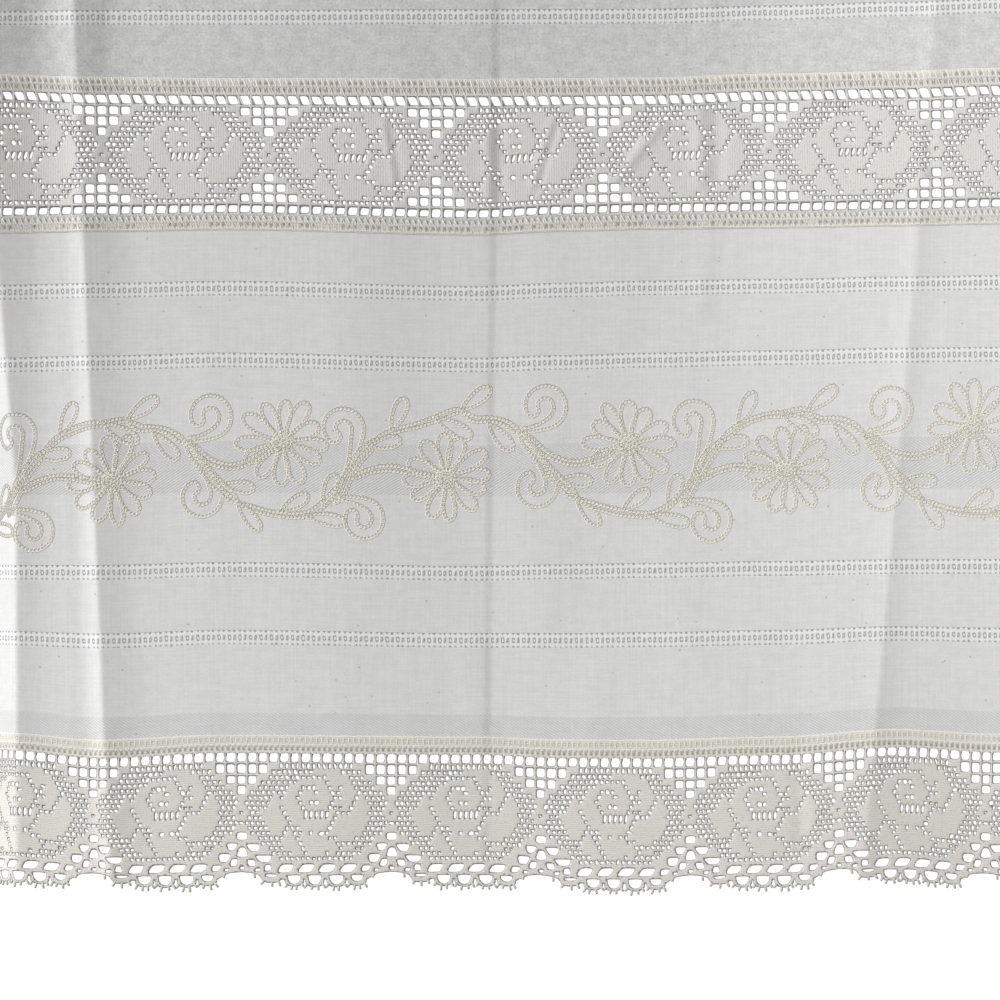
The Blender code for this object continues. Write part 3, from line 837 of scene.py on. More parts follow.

# One rose, charted: in each row of small cells, the cells that are open, counted from the middle
# of an open triangle. A letter gives a size: t tall, b big, w wide, s small, l two rows long.
roseRows = (
    "7-20t", "5-12 18-21", "5-9 10b 11-15 20-22", "3-9 15 20-23", "3-8 11 12b 13b 16 18 21-24",
    "1-7 10 13w 16b 17 21b 22-25", "1-5 7 10 17 18 21 23-26", "0b 1-4 10 12b 13b 16 20 23-25 26b",
    "1-4 7 11 16 17s 18s 20 24-26", "27s 1 2 7 11-15l 17-19 23-25", "1-3 8 17 24-26", "27w 0-3 8 16 23-26",
    "1-4 8-10 16w 23-26", "1-4 7 9 10 12b 14b 15 22-25", "3-7 10 16 17 21-24", "3-6 10 17-23",
    "5-7 11 18 21s 22s", "5-8 11 15 17-21", "7-20",
)
holeSizes = {"": (1.75, 1.75), "t": (1.45, 2.75), "b": (2.35, 2.35), "w": (2.6, 1.7), "s": (1.1, 1.1),
             "l": (1.5, 4.5)}
# Squares of an open triangle, two rows high: their row, and their left edge in half cells from its middle
squareRows = ((0, (-10, -6, -2, 2, 6)), (2, (-6, -2, 2)), (4, (-2,)))
topSquares = [(row, j, j + 4) for row, places in squareRows for j in places]
footSquares = [(17 - row, j, j + 4) for row, places in squareRows for j in places]
# Rows of the edging that the fan over each notch takes up, as half cells to each side
fanSteps = {13: 3, 14: 6, 15: 7, 16: 10, 17: 11, 18: 14}


def openCells(text):
    found = {}
    for word in text.split():
        letter = word[-1] if word[-1].isalpha() else ""
        ends = word.rstrip("tbwsl").split("-")
        for cell in range(int(ends[0]), int(ends[-1]) + 1):
            found[cell] = holeSizes[letter]
    return found


class Lace(CellField):
    # places are half cells from the middle of an open triangle or of a notch
    def __init__(self, form, seed):
        super().__init__(seed)
        self.form, self.step = form, form["repeat"] / laceForm["cells"] / 2
        self.first = math.ceil((-halfPanel - form["centre"]) / self.step)
        self.last = math.floor((halfPanel - form["centre"]) / self.step)
        self.edges = [form["bodyTop"] + k * form["firstRowsHigh"] for k in range(3)]
        for _ in range(len(roseRows) - 2):
            self.edges.append(self.edges[-1] + form["rowHigh"])

    def across(self, j):
        return self.form["centre"] + j * self.step

    def put(self, kind, j, end, *rest):
        self.add(kind, self.across(j), self.across(end), *rest)

    def fill(self, j, end, top, foot, widest=2):
        while j < end:
            wide = min(widest, end - j)
            self.put("solid" if wide == 2 else "half", j, j + wide, top, foot)
            j += wide

    def row(self, kinds, start, wide, top, foot, hole, vary, lower=0.0, plain=2):
        # cells of one row, closed at its two ends
        self.fill(self.first, start, top, foot, plain)
        for j in range(start, self.last - wide, wide):
            kind = kinds if isinstance(kinds, str) else kinds[self.rng.integers(len(kinds))]
            self.put(kind, j, j + wide, top, foot, hole, (0, lower), laceForm["vary"][vary])
        self.fill(j + wide, self.last, top, foot, plain)

    def cord(self, top, foot):
        self.fill(self.first, self.last, top, foot)

    def heading(self, top, foot, hole, kinds, lower=0.0):
        self.row(kinds, self.first + 1 + (self.first + 1) % 2, 2, top, foot, hole, "heading", lower)

    def ladder(self, top, foot, hole, kind="ladder"):
        # its cells keep to the triangles' squares
        self.row(kind, self.first + 1 + (1 - self.first) % 4, 4, top, foot, hole, "ladder", plain=1)

    def body(self, squares, fan):
        form, span, vary = self.form, 2 * laceForm["cells"], laceForm["vary"]
        blocks = squares + [(row, 2 * cell + row % 2, 2 * cell + row % 2 + 2)
                            for row, text in enumerate(roseRows)
                            for cell, size in openCells(text).items() if size == holeSizes["l"]]
        for row, text in enumerate(roseRows):
            chart, top, foot = openCells(text), self.edges[row], self.edges[row + 1]
            taken, starts = {}, []
            for shift in range((self.first // span - 1) * span, (self.last // span + 2) * span, span):
                for blockRow, left, right in blocks:
                    left, right = left + shift, right + shift
                    if left > self.first and right < self.last and blockRow <= row < blockRow + 2:
                        taken[left] = right
                        if row == blockRow:
                            starts.append((left, right))
                if row in fan:
                    taken[max(shift - fan[row], self.first)] = min(shift + fan[row], self.last)
            for left, right in starts:
                low = self.edges[row + 2]
                if right - left == 2:
                    slot = (*holeSizes["l"], form["slotLean"])
                    self.put("tall", left, right, top, low, slot, (0, -laceForm["slotDrop"]), vary["slot"])
                else:
                    wide, high, lean = form["squareHole"]
                    hole = (wide, min(high, (low - top) - laceForm["squareRim"]), lean)
                    self.put("square", left, right, top, low, hole, (0, 0), vary["square"])
            j = self.first
            while j < self.last:
                if j in taken:
                    j = max(taken[j], j + 1)
                    continue
                offset = (j - row % 2) % span
                cell, whole = offset // 2 % laceForm["cells"], offset % 2 == 0
                whole = whole and self.first < j < self.last - 2 and j + 1 not in taken
                end = j + 2 if whole else j + 1
                if whole and cell in chart:
                    wide, high = chart[cell]
                    high = min(high * (foot - top) / form["rowHigh"], (foot - top) * laceForm["fullHole"])
                    lean = self.rng.normal(0, laceForm["holeLean"])
                    hole = (wide * self.step / laceForm["chartStep"], high, lean)
                    self.put("hole", j, end, top, foot, hole, (0, 0), vary["hole"])
                else:
                    self.fill(j, end, top, foot)
                j = end

    def piece(self, name, extra=None):
        return self.made(name + "Lace", materials[name], self.form["wander"], laceForm["thread"], extra)


def insertionPiece():
    form, lace, holes = insertion, Lace(insertion, seed=31), insertion["headingHoles"]
    top, ladderTop, ladderFoot = form["top"], form["headingRows"][1], form["ladderFoot"]
    middle, low, foot = form["headingRows"][0], *form["footRows"]
    lace.cord(top - laceForm["cord"], top)
    # the headings' dimples and buttons take painted shade in their pits, in place of small holes
    lace.heading(top, middle, holes[0], ("dimple", "dimple", "button"), lower=0.5)
    lace.heading(middle, ladderTop, holes[1], ("dimple",))
    lace.ladder(ladderTop, form["bodyTop"], form["ladderHole"])
    lace.body(topSquares + footSquares, {})
    lace.ladder(lace.edges[-1], ladderFoot, form["lowerLadderHole"])
    lace.heading(ladderFoot, low, holes[2], ("dimple",))
    lace.heading(low, foot, holes[3], ("dimple", "dimple", "button"), lower=-0.3)
    lace.cord(foot, foot + laceForm["cord"])
    return lace.piece("insertion")


insertionLace = insertionPiece()
print("insertion ready")


# Foot of the edging, from one notch to the next. Places are from the notch, drops from the valley's level.
footForm = {
    "valley": 625.2, "notchHalf": 8.0,
    "archTop": 4.2,          # where two arches meet, below the valley
    "archPower": 0.7, "archHolePower": 0.8,      # lower is squarer
    "archHoleFoot": ((0.5, 0.25), (0, 0.3), (-0.5, 0.25)),     # shares of its half width, and heights
    "valleyBow": 0.9, "valleyDrop": 0.6, "toArch": (2.4, 1.6),
    "stepsBelow": 13,        # rows of cells down to where it can begin
    "pointSpacing": 1.15, "rowShare": 0.87, "jitter": 0.15, "clearance": 0.62,
}
arches = table(
    "place half foot holeHalf holeTop holeFoot picots",
    (17.9, 5.6, 6.0, 3.5, 1.3, 2.4, 3),
    (31.6, 6.0, 8.3, 3.8, 1.9, 6.6, 4),
    (43.9, 6.0, 8.8, 3.8, 1.9, 7.1, 4),
    (56.9, 6.0, 8.8, 4.0, 1.9, 7.0, 4),
    (69.3, 5.9, 8.0, 3.4, 1.8, 5.0, 4),
)
# Rounded openings: half width, half height, lean of the top to the right, narrowing of the top
openings = table(
    "name place level halfWide halfHigh lean taper",
    ("fan top", 0.3, -21.6, 2.9, 2.1, 0.2, 0.0),
    ("fan side left", -5.8, -15.3, 2.5, 2.0, 0.6, -0.35),
    ("fan side right", 7.3, -14.8, 3.2, 2.1, -0.6, -0.35),
    ("fan centre", 0.4, -12.2, 2.6, 2.7, 0.0, 0.35),
    ("fan lower left", -10.3, -8.7, 3.0, 2.3, 0.8, -0.2),
    ("fan lower right", 13.6, -8.3, 4.0, 1.9, -0.8, -0.3),
    ("fan inner left", -4.5, -6.0, 1.9, 2.0, 1.0, 0.0),
    ("fan inner right", 6.0, -5.8, 2.2, 1.8, -0.9, 0.0),
    ("fan bead", 0.4, -2.7, 1.2, 0.8, 0.0, 0.0),
    ("fan bead right", 9.8, -1.7, 1.4, 0.8, 0.3, 0.0),
    ("fan bead left", -8.9, -1.6, 1.0, 0.7, 0.3, 0.0),
    ("corner", 15.8, -3.0, 1.8, 1.7, -0.2, 0.2),
    ("slot 1", 26.6, -2.6, 3.8, 2.3, 2.6, 0.0),
    ("slot 2", 39.0, -2.6, 4.0, 2.3, 2.9, 0.0),
    ("slot 3", 51.4, -2.6, 4.1, 2.3, 3.0, 0.0),
    ("slot 4", 64.0, -2.6, 4.0, 2.3, 3.0, 0.0),
    ("last corner", 74.6, -2.6, 2.2, 1.6, 1.6, -0.2),
)


def roundedHole(x, y, opening, squareness=4.5, count=16):
    points = []
    for turn in 2 * math.pi * np.arange(count) / count:
        c, s = math.cos(turn), math.sin(turn)
        size = (abs(c) ** squareness + abs(s) ** squareness) ** (-1 / squareness)
        u, v = c * size, s * size
        wide = opening.halfWide * (1 - opening.taper * v)
        points.append((x + u * wide + opening.lean * v * 0.5, y + v * opening.halfHigh))
    return points


def archHole(x, y, arch, count=9):
    high = arch.holeFoot - arch.holeTop
    power = footForm["archHolePower"]
    bow = [(x - arch.holeHalf * math.cos(turn), y - arch.holeTop - high * math.sin(turn) ** power)
           for turn in [math.pi * k / (count - 1) for k in range(count)]]
    return bow + [(x + share * arch.holeHalf, y - arch.holeTop + above)
                  for share, above in footForm["archHoleFoot"]]


def notchPlaces():
    centre, repeat = edging["centre"], edging["repeat"]
    first = math.floor((-halfPanel - centre) / repeat)
    return [centre + k * repeat for k in range(first, math.ceil((halfPanel - centre) / repeat) + 1)]


def scallopLine():
    y, half, meet = -footForm["valley"], footForm["notchHalf"], footForm["archTop"]
    points = []
    for notch in notchPlaces():
        for k in range(5):
            place = (k / 4 - 0.5) * 2 * half
            bow = footForm["valleyBow"] * math.cos(place / half * math.pi / 2)
            points.append((notch + place, y + bow - footForm["valleyDrop"]))
        points.append((notch + half + footForm["toArch"][0], y - footForm["toArch"][1]))
        for arch in arches:
            for k in range(11):
                turn = math.pi * k / 10
                points.append((notch + arch.place - arch.half * math.cos(turn),
                               y - meet - (arch.foot - meet) * math.sin(turn) ** footForm["archPower"]))
    return points


def stairLine(lace):
    span = 2 * laceForm["cells"]

    def level(j):
        off = min(j % span, span - 1 - j % span)      # half cells from the notch
        return min((row for row, reach in fanSteps.items() if off < reach), default=len(roseRows))

    points, before = [], level(lace.first)
    for j in range(lace.first, lace.last):
        row, x = level(j), lace.across(j)
        way = 1 if row > before else -1
        for edge in range(before, row, way):
            here, there = lace.edges[edge], lace.edges[edge + way]
            points += [(x, -here), (x, -(here + there) / 2)]
        points.append((x, -lace.edges[row]))
        before = row
    return points + [(lace.across(lace.last), -lace.edges[before])]


def clipLine(points, left, right):
    kept = []
    for a, b in zip(points, points[1:]):
        for limit in (left, right):
            if a[0] < limit < b[0]:
                kept.append((limit, a[1] + (b[1] - a[1]) * (limit - a[0]) / (b[0] - a[0])))
        if left < b[0] < right:
            kept.append(b)
    return kept


def footLayer(lace):
    left, right = lace.across(lace.first), lace.across(lace.last)
    outline = clipLine(scallopLine(), left, right) + stairLine(lace)[::-1]
    y, holes = -footForm["valley"], []
    for notch in notchPlaces():
        rings = [roundedHole(notch + o.place, y - o.level, o) for o in openings]
        rings += [archHole(notch + a.place, y, a) for a in arches]
        holes += [r for r in rings if min(p[0] for p in r) > left + 1 and max(p[0] for p in r) < right - 1]
    rims, edges = [], []
    for ring in [outline] + holes:
        start = len(rims)
        rims += ring
        edges += [(start + k, start + (k + 1) % len(ring)) for k in range(len(ring))]
    rims, spacing, jitter = np.array(rims), footForm["pointSpacing"], footForm["jitter"]
    rng = np.random.default_rng(41)
    lowest, highest, inner = y - 10, spacing - lace.edges[footForm["stepsBelow"]], []
    for k, low in enumerate(np.arange(lowest, highest, spacing * footForm["rowShare"])):
        for x in np.arange(left + spacing * (0.5 + 0.5 * (k % 2)), right, spacing):
            inner.append((x + rng.uniform(-jitter, jitter), low + rng.uniform(-jitter, jitter)))
    inner = np.array(inner)
    inner = inner[farFrom(inner, rims, footForm["clearance"])]
    every = [tuple(p) for p in np.vstack([rims, inner])]
    for _ in range(4):       # a point on each edge that bridges two rims, until there is none
        verts, _, faces, origins, _, _ = delaunay_2d_cdt(every, edges, [], 0, 1e-5)
        faces = keptFaces(verts, faces, outline, holes)
        onRim = [min(found, default=len(rims)) < len(rims) for found in origins]
        bridges = bridging(faces, onRim)
        if not bridges:
            break
        every += [tuple((np.array(verts[a]) + np.array(verts[b])) / 2) for a, b in bridges]
    used = sorted({i for face in faces for i in face})
    number = {old: new for new, old in enumerate(used)}
    mesh = meshFrom("edgingFoot", [(*verts[i], 0) for i in used],
                    [[number[i] for i in face] for face in faces], pit=[0.0] * len(used))
    return addObject("edgingFoot", mesh)


def keptFaces(verts, faces, outline, holes):
    centres = np.array([np.mean([verts[i] for i in face], axis=0) for face in faces])
    keep = insideRing(centres, outline)
    for ring in holes:
        low, high = np.min(ring, axis=0), np.max(ring, axis=0)
        index = np.nonzero(np.all((centres > low) & (centres < high), axis=1))[0]
        keep[index[insideRing(centres[index], ring)]] = False
    return [turnedLeft(face, verts) for face, kept in zip(faces, keep) if kept]


def bridging(faces, onRim):
    seen, found = set(), set()
    for face in faces:
        for side in (tuple(sorted(pair)) for pair in zip(face, face[1:] + face[:1])):
            if side in seen and onRim[side[0]] and onRim[side[1]]:
                found.add(side)
            seen.add(side)
    return found


def farFrom(points, others, distance):
    others = others[np.argsort(others[:, 0])]
    low, high = (np.searchsorted(others[:, 0], points[:, 0] + way * distance) for way in (-1, 1))
    return np.array([not np.any(np.hypot(*(others[a:b] - p).T) < distance)
                     for p, a, b in zip(points, low, high)])


def insideRing(points, ring):
    inside = np.zeros(len(points), bool)
    for (x1, y1), (x2, y2) in zip(ring, np.roll(ring, -1, axis=0)):
        crosses = (y1 > points[:, 1]) != (y2 > points[:, 1])
        if y1 != y2:
            inside ^= crosses & (points[:, 0] < (x2 - x1) * (points[:, 1] - y1) / (y2 - y1) + x1)
    return inside


def turnedLeft(face, verts):
    a, b, c = (verts[i] for i in face[:3])
    turn = (b[0] - a[0]) * (c[1] - a[1]) - (b[1] - a[1]) * (c[0] - a[0])
    return list(face) if turn > 0 else list(face)[::-1]


def edgingPiece():
    form, lace, holes = edging, Lace(edging, seed=32), edging["headingHoles"]
    top, (middle, ladderTop) = form["top"], form["headingRows"]
    lace.cord(top - laceForm["cord"], top)
    # the headings' dimples and buttons take painted shade in their pits, in place of small holes
    lace.heading(top, middle, holes[0], ("button",))
    lace.heading(middle, ladderTop, holes[1], ("dimple",), lower=0.9)
    lace.ladder(ladderTop, form["bodyTop"], form["ladderHole"], "round")
    lace.body(topSquares, fanSteps)
    return lace.piece("edging", footLayer(lace))


edgingLace = edgingPiece()
print("edging ready")


# Links, posts and chains of thread along the headings of the laces

def tubeFaces(rings, sides, total):
    faces = []
    for k in range(rings):
        for s in range(sides):
            a, b = k * sides + s, k * sides + (s + 1) % sides
            faces.append((a, (a + sides) % total, (b + sides) % total, b))
    return faces


def chainLink(name, length, width, thick, flat=1.0, corners=7, sides=3):
    # narrow and low at its start, which comes out of the link before
    turns = [2 * math.pi * (k + 0.5) / corners for k in range(corners)]
    alongs = [(1 - math.cos(turn)) / 2 for turn in turns]
    path = np.array([(length * (along - 0.5), width / 2 * math.sin(turn) * (0.45 + 0.55 * along),
                      thick * flat * (0.15 + 0.30 * along)) for turn, along in zip(turns, alongs)])
    points = []
    for k in range(corners):
        ahead = path[(k + 1) % corners] - path[k - 1]
        side = np.cross(ahead / np.linalg.norm(ahead), (0, 0, 1))
        for s in range(sides):
            turn = 2 * math.pi * s / sides - math.pi / 2
            lift = np.array((0, 0, 1)) * math.sin(turn) * flat * thick / 2
            points.append(path[k] + side * math.cos(turn) * thick / 2 + lift)
    faces = tubeFaces(corners, sides, len(points))
    return bpy.data.objects.new(name, meshFrom(name, points, faces))


def threadBar(name, rings=3, sides=4):
    # one unit long and wide, thinner at both ends
    points = []
    for k in range(rings + 1):
        swell = 0.5 * (0.7 + 0.3 * math.sin(math.pi * k / rings))
        for s in range(sides):
            turn = 2 * math.pi * s / sides + math.pi / 4
            points.append((swell * math.cos(turn), -k / rings, swell * math.sin(turn)))
    ends = [range(sides), range(len(points) - 1, rings * sides - 1, -1)]
    return bpy.data.objects.new(name, meshFrom(name, points, tubeFaces(rings, sides, len(points)) + ends))


def laidAlong(name, polylines, height, link, stitch, wobble, material, limit=math.inf):
    curve = bpy.data.curves.new(name + "Lines", "CURVE")
    curve.dimensions = "3D"
    for line in polylines:
        line = line[np.abs(line[:, 0]) < limit]
        if len(line) > 2:
            spline = curve.splines.new("POLY")
            spline.points.add(len(line) - 1)
            flat = np.column_stack([line, np.full(len(line), height), np.ones(len(line))])
            spline.points.foreach_set("co", flat.astype(np.float32).ravel())
    values = {"Link": link, "Stitch": stitch, "Wobble": wobble, "Material": material}
    return runTree(addObject(name + "Lines", curve), trees["stitch"], values, name)


def placed(name, spots, piece, material, wobble):
    # a spot is x, y, z, the turn, and the three sizes
    spots = np.array(spots, float)
    mesh = meshFrom(name, spots[:, :3], turn=spots[:, 3], size=spots[:, 4:7])
    values = {"Piece": piece, "Wobble": wobble, "Material": material}
    return runTree(addObject(name + "Points", mesh), trees["place"], values, name)


def joined(name, objects):
    points, faces = [], []
    for made in objects:
        faces += [tuple(len(points) + i for i in face.vertices) for face in made.data.polygons]
        points += [tuple(v.co) for v in made.data.vertices]
    mesh = meshFrom(name, points, faces)
    mesh.materials.append(objects[0].data.materials[0])
    for made in objects:
        bpy.data.objects.remove(made)
    return addObject(name, mesh)


reach = halfPanel - 1
bar = threadBar("threadBar")
edgeLink, rowLink = chainLink("edgeLink", 2.4, 1.0, 0.5, 0.5), chainLink("rowLink", 2.4, 1.0, 0.5)
# Posts: drop and shift of the top, drop and shift of the foot, first place in half cells, width, thickness.
# Chains: drops, height, link and stitch length.
headings = {
    "insertionPosts": {
        "form": insertion, "wobble": 0.05,
        "posts": ((149.4, -4.9, 165.0, 1.7, 2, 1.0, 0.6), (149.6, -4.6, 158.0, -0.9, 0, 0.8, 0.5),
                  (231.2, -0.2, 239.0, 4.6, 2, 1.0, 0.6), (231.8, 0.4, 238.8, 4.4, 0, 0.8, 0.5)),
        "chains": (((148.8, 240.0), 0.36, edgeLink, 2.0), ((154.1, 158.8, 231.1, 235.4), 0.47, rowLink, 2.0)),
    },
    "edgingPosts": {
        "form": edging, "wobble": 0.12,
        "posts": ((544.6, -0.2, 548.9, 0.3, 0, 0.6, 0.5), (544.8, 0.2, 548.8, -0.2, 2, 0.6, 0.5)),
        "chains": (((543.5,), 0.36, edgeLink, 2.0), ((549.9, 554.2), 0.47, rowLink, 3.2)),
    },
}
postForm = {"height": 0.54, "pitch": 4, "chainWobble": 0.05}


def postSpots(form, rows):
    step, centre = form["repeat"] / laceForm["cells"] / 2, form["centre"]
    pitch, spots = postForm["pitch"], []
    low = math.ceil((-reach - centre) / (pitch * step))
    for top, topShift, foot, footShift, first, width, thick in rows:
        turn = math.atan2(footShift - topShift, foot - top)
        length = math.hypot(footShift - topShift, foot - top)
        for k in range(low, low + int(reach * 2 / (pitch * step)) + 1):
            x = centre + (first + k * pitch) * step
            if max(abs(x + topShift), abs(x + footShift)) < reach:
                spots.append((x + topShift, -top, postForm["height"], turn, width, length, thick))
    return spots


def headingPosts(name):
    form, thread = headings[name], materials["heading"]
    made = [placed("posts", postSpots(form["form"], form["posts"]), bar, thread, form["wobble"])]
    xs = np.arange(0.5 - halfPanel, halfPanel - 0.5, 4.0)
    for drops, height, link, stitch in form["chains"]:
        lines = [np.stack([xs, np.full(len(xs), -drop)], 1) for drop in drops]
        made.append(laidAlong("chains", lines, height, link, stitch, postForm["chainWobble"], thread))
    return joined(name, made)


insertionPosts, edgingPosts = headingPosts("insertionPosts"), headingPosts("edgingPosts")


# Picots: small pegs round the arches, and two in each notch

picotForm = {
    "height": 0.5, "width": 2.3, "length": 2.9, "thick": 1.2, "wobble": 0.15,
    "spread": 0.9, "spreadVary": 0.08, "lengthVary": (0.8, 1.25), "turn": 0.7,
    "inArch": 0.92, "inside": 0.7, "inNotch": (-10.2, 7.4), "notchDrop": 0.4, "notchTurn": 0.03,
}


def picotSpots():
    rng = np.random.default_rng(61)
    y, meet, form, spots = -footForm["valley"], footForm["archTop"], picotForm, []

    def peg(x, y, turn, length):
        spots.append((x, y, form["height"], turn, form["width"], length, form["thick"]))

    for notch in notchPlaces():
        for arch in arches:
            for k in range(arch.picots):
                turn = (k / (arch.picots - 1) * 2 - 1) * form["spread"]
                turn += rng.uniform(-form["spreadVary"], form["spreadVary"])
                deep = (arch.foot - meet) * math.cos(turn) ** footForm["archPower"]
                x = notch + arch.place + arch.half * math.sin(turn) * form["inArch"]
                if abs(x) < reach - 1:
                    peg(x, y - meet - deep + form["inside"], turn * form["turn"],
                        form["length"] * rng.uniform(*form["lengthVary"]))
        for place in form["inNotch"]:
            if abs(notch + place) < reach - 1:
                peg(notch + place, y - form["notchDrop"], place * form["notchTurn"], form["length"])
    return spots


picots = placed("picots", picotSpots(), bar, materials["picot"], picotForm["wobble"])
print("headings and picots ready")


# Vine in chain stitch

vineForm = {
    "link": (3.5, 2.85, 0.85, 0.36),      # length, width and thickness of a link, and how flat it lies
    "stitch": 2.3, "height": 0.14, "wobble": 0.1, "rowGap": 2.7, "rowWander": 0.3,
    "petals": 12, "petalFoot": 4.8, "petalReach": 27.0, "petalWide": 9.8, "lowDaisyTurn": 0.25,
    "reachVary": (0.88, 1.06), "wideVary": (0.85, 1.12), "turnVary": 5, "leafVary": 3,
    "heart": (0.8, 5.6), "heartTurns": 3.2,      # the spiral in a daisy: inner radius and growth
    "slim": 0.35,            # width of a leaf's or a tendril's start, as a share of its widest
    "archPlace": 36, "archReach": 18, "rowsMeet": 0.3,
}

# Knots in the cut cloth, four to a repeat, the first two just past the left edge. The last two numbers make
# the tendril ahead longer and the arch ahead rounder.
knots = table(
    "kind place drop longer rounder",
    ("curl", -392.0, 366.0), ("highDaisy", -333.0, 367.0), ("fork", -290.0, 391.9, 5, 6),
    ("lowDaisy", -232.9, 389.4), ("curl", -189.1, 368.0), ("highDaisy", -130.9, 367.4),
    ("fork", -90.7, 385.1), ("lowDaisy", -32.4, 386.2), ("curl", 12.0, 360.6), ("highDaisy", 76.8, 368.7),
    ("fork", 118.2, 388.1, 6, 6), ("lowDaisy", 172.3, 385.8), ("curl", 219.7, 366.0),
    ("highDaisy", 284.0, 361.7), spare=(0, 0),
)
# What lies between a knot and the ones ahead, as these shapes are drawn: right and up
ahead = {"fork": (101.7, 23.5), "curl": (102.3, -22.3), "lowDaisy": (56.5, 1.2), "highDaisy": (62.4, -1.1)}

# Shapes by their knot, in millimetres from it: right and up
leaves = table(
    "knot right up heading length width",
    ("fork", 25.2, 26.5, 66, 20.5, 9.0), ("fork", 10.2, 17.0, 8, 20.5, 8.6),
    ("fork", 51.5, 34.0, -27, 24.0, 9.4), ("fork", 67.2, 39.0, 38, 21.0, 9.0),
    ("curl", -18.6, 6.0, -50, 20.5, 9.0), ("curl", 24.0, -26.5, -4, 18.0, 8.2),
    ("curl", 33.0, -38.5, -52, 20.0, 8.4), ("curl", 60.0, -43.8, 35, 18.5, 8.4),
    ("curl", 75.6, -46.8, -12, 23.0, 8.4), ("curl", 86.4, -41.4, 72, 20.0, 9.0),
)
tendrils = table(
    "knot right up heading reach sweep curl radius endRadius width",
    ("fork", -1.0, 1.0, 71, 25.0, 10, 235, 9.6, 6.8, 7.4),
    ("fork", -7.0, -15.0, 2, 19.0, -25, -265, 9.6, 6.8, 7.0),
    ("curl", 2.4, 2.0, 2, 17.0, 25, 260, 10.6, 7.0, 7.4),
    ("curl", 7.8, -11.1, -50, 20.0, -16, -255, 9.8, 6.8, 7.2),
)
# The third word says which knot ahead the stem grows to
stems = table(
    "knot rows to points",
    ("fork", 2, "lowDaisy", ((1, -3), (12, 2.2), (22, 4.6), (32, 4.2), (42, 2.4), (50, 1.2))),
    ("fork", 3, "curl", ((-8, -17), (-3, -6), (1, 2), (6, 10), (14, 19))),
    ("fork", 2, "curl", ((14, 19), (26, 25.5), (41, 30), (52, 34), (63, 38), (68, 37))),
    ("fork", 2, "curl", ((68, 37), (74, 33.5), (84, 33), (93, 30), (101.7, 23.5))),
    ("curl", 2, "highDaisy", ((2, 0.6), (12, -8.4), (22, -13.5), (34, -14.5), (48, -9), (56, -3))),
    ("curl", 3, "fork", ((0, 0), (7, -9), (14.5, -20), (22, -28), (33, -38))),
    ("curl", 2, "fork", ((33, -38), (45, -42.5), (59, -45.5), (75, -46), (86, -40), (96, -30), (102, -21))),
)


def smoothLine(points, spacing=0.8):
    # through all the points, evenly curved
    points = np.array(points, float)
    points = [2 * points[0] - points[1], *points, 2 * points[-1] - points[-2]]
    line = []
    for a, b, c, d in zip(points, points[1:], points[2:], points[3:]):
        count = max(2, int(np.linalg.norm(c - b) / spacing))
        for t in [k / count for k in range(count)]:
            line.append(0.5 * (2 * b + (c - a) * t + (2 * a - 5 * b + 4 * c - d) * t ** 2
                               + (3 * b - a - 3 * c + d) * t ** 3))
    return np.array(line + [points[-2]])


def beside(line, offset):
    ahead = np.gradient(line, axis=0)
    ahead /= np.linalg.norm(ahead, axis=1)[:, None]
    return line + np.stack([-ahead[:, 1], ahead[:, 0]], 1) * np.asarray(offset).reshape(-1, 1)


def towards(heading):
    return np.array((math.cos(heading), math.sin(heading)))


def turned(points, heading):
    c, s = towards(math.radians(heading))
    return np.stack([points[:, 0] * c - points[:, 1] * s, points[:, 0] * s + points[:, 1] * c], 1)


def leafLoop(length, width, count=40):
    turn = np.linspace(0, 2 * math.pi, count)
    along = (1 - np.cos(turn)) / 2
    swell = vineForm["slim"] + (1 - vineForm["slim"]) * along ** 0.8
    return np.stack([length * along, width / 2 * np.sin(turn) * swell * 1.08], 1)


def tendrilLoop(form, longer, step=0.7):
    heading, place = math.radians(form.heading), np.zeros(2)
    line, count = [place], int((form.reach + longer) / step)
    for _ in range(count):
        heading += math.radians(form.sweep) / count
        line.append(line[-1] + step * towards(heading))
    turn, whole = 0.0, math.radians(abs(form.curl))
    while turn < whole:
        radius = form.radius + (form.endRadius - form.radius) * turn / whole
        heading += math.copysign(step / radius, form.curl)
        turn += step / radius
        line.append(line[-1] + step * towards(heading))
    line = np.array(line)
    swell = eased(np.linspace(0, 1, len(line)) * 2.2)
    half = form.width / 2 * (vineForm["slim"] + (1 - vineForm["slim"]) * swell)
    cap = [line[-1] + half[-1] * towards(heading + math.pi / 2 - turn)
           for turn in np.linspace(0.3, math.pi - 0.3, 6)]
    return np.vstack([beside(line, half), cap, beside(line, -half)[::-1]])


def daisyLines(rng, low):
    found, form = [], vineForm
    for k in range(form["petals"]):
        heading = 360 * (k + (form["lowDaisyTurn"] if low else 0.0)) / form["petals"]
        heading += rng.uniform(-form["turnVary"], form["turnVary"])
        reach = form["petalReach"] * rng.uniform(*form["reachVary"])
        loop = leafLoop(reach - form["petalFoot"], form["petalWide"] * rng.uniform(*form["wideVary"]))
        found.append(turned(loop + (form["petalFoot"], 0), heading))
    turn = np.linspace(0, form["heartTurns"] * 2 * math.pi, 90)
    radius = form["heart"][0] + form["heart"][1] * turn / turn[-1]
    return found + [np.stack([radius * np.cos(turn), radius * np.sin(turn)], 1)]


def fitted(points, number, kind):
    # stretched towards the next knot of that kind
    points, knot = np.array(points, float), knots[number]
    further, drawn = np.zeros(2), (1.0, 0.0)
    other = next((other for other in knots[number + 1:] if other.kind == kind), None)
    if other:
        drawn = ahead[kind if "Daisy" in kind else knot.kind]
        further = np.array((other.place - knot.place - drawn[0], knot.drop - other.drop - drawn[1]))
    moved = points + np.clip(points[:, :1] / drawn[0], 0, 1) * further
    if kind == "curl":
        off = (points[:, 0] - vineForm["archPlace"]) / vineForm["archReach"]
        moved[:, 1] += knot.rounder * np.exp(-off ** 2)
    return moved


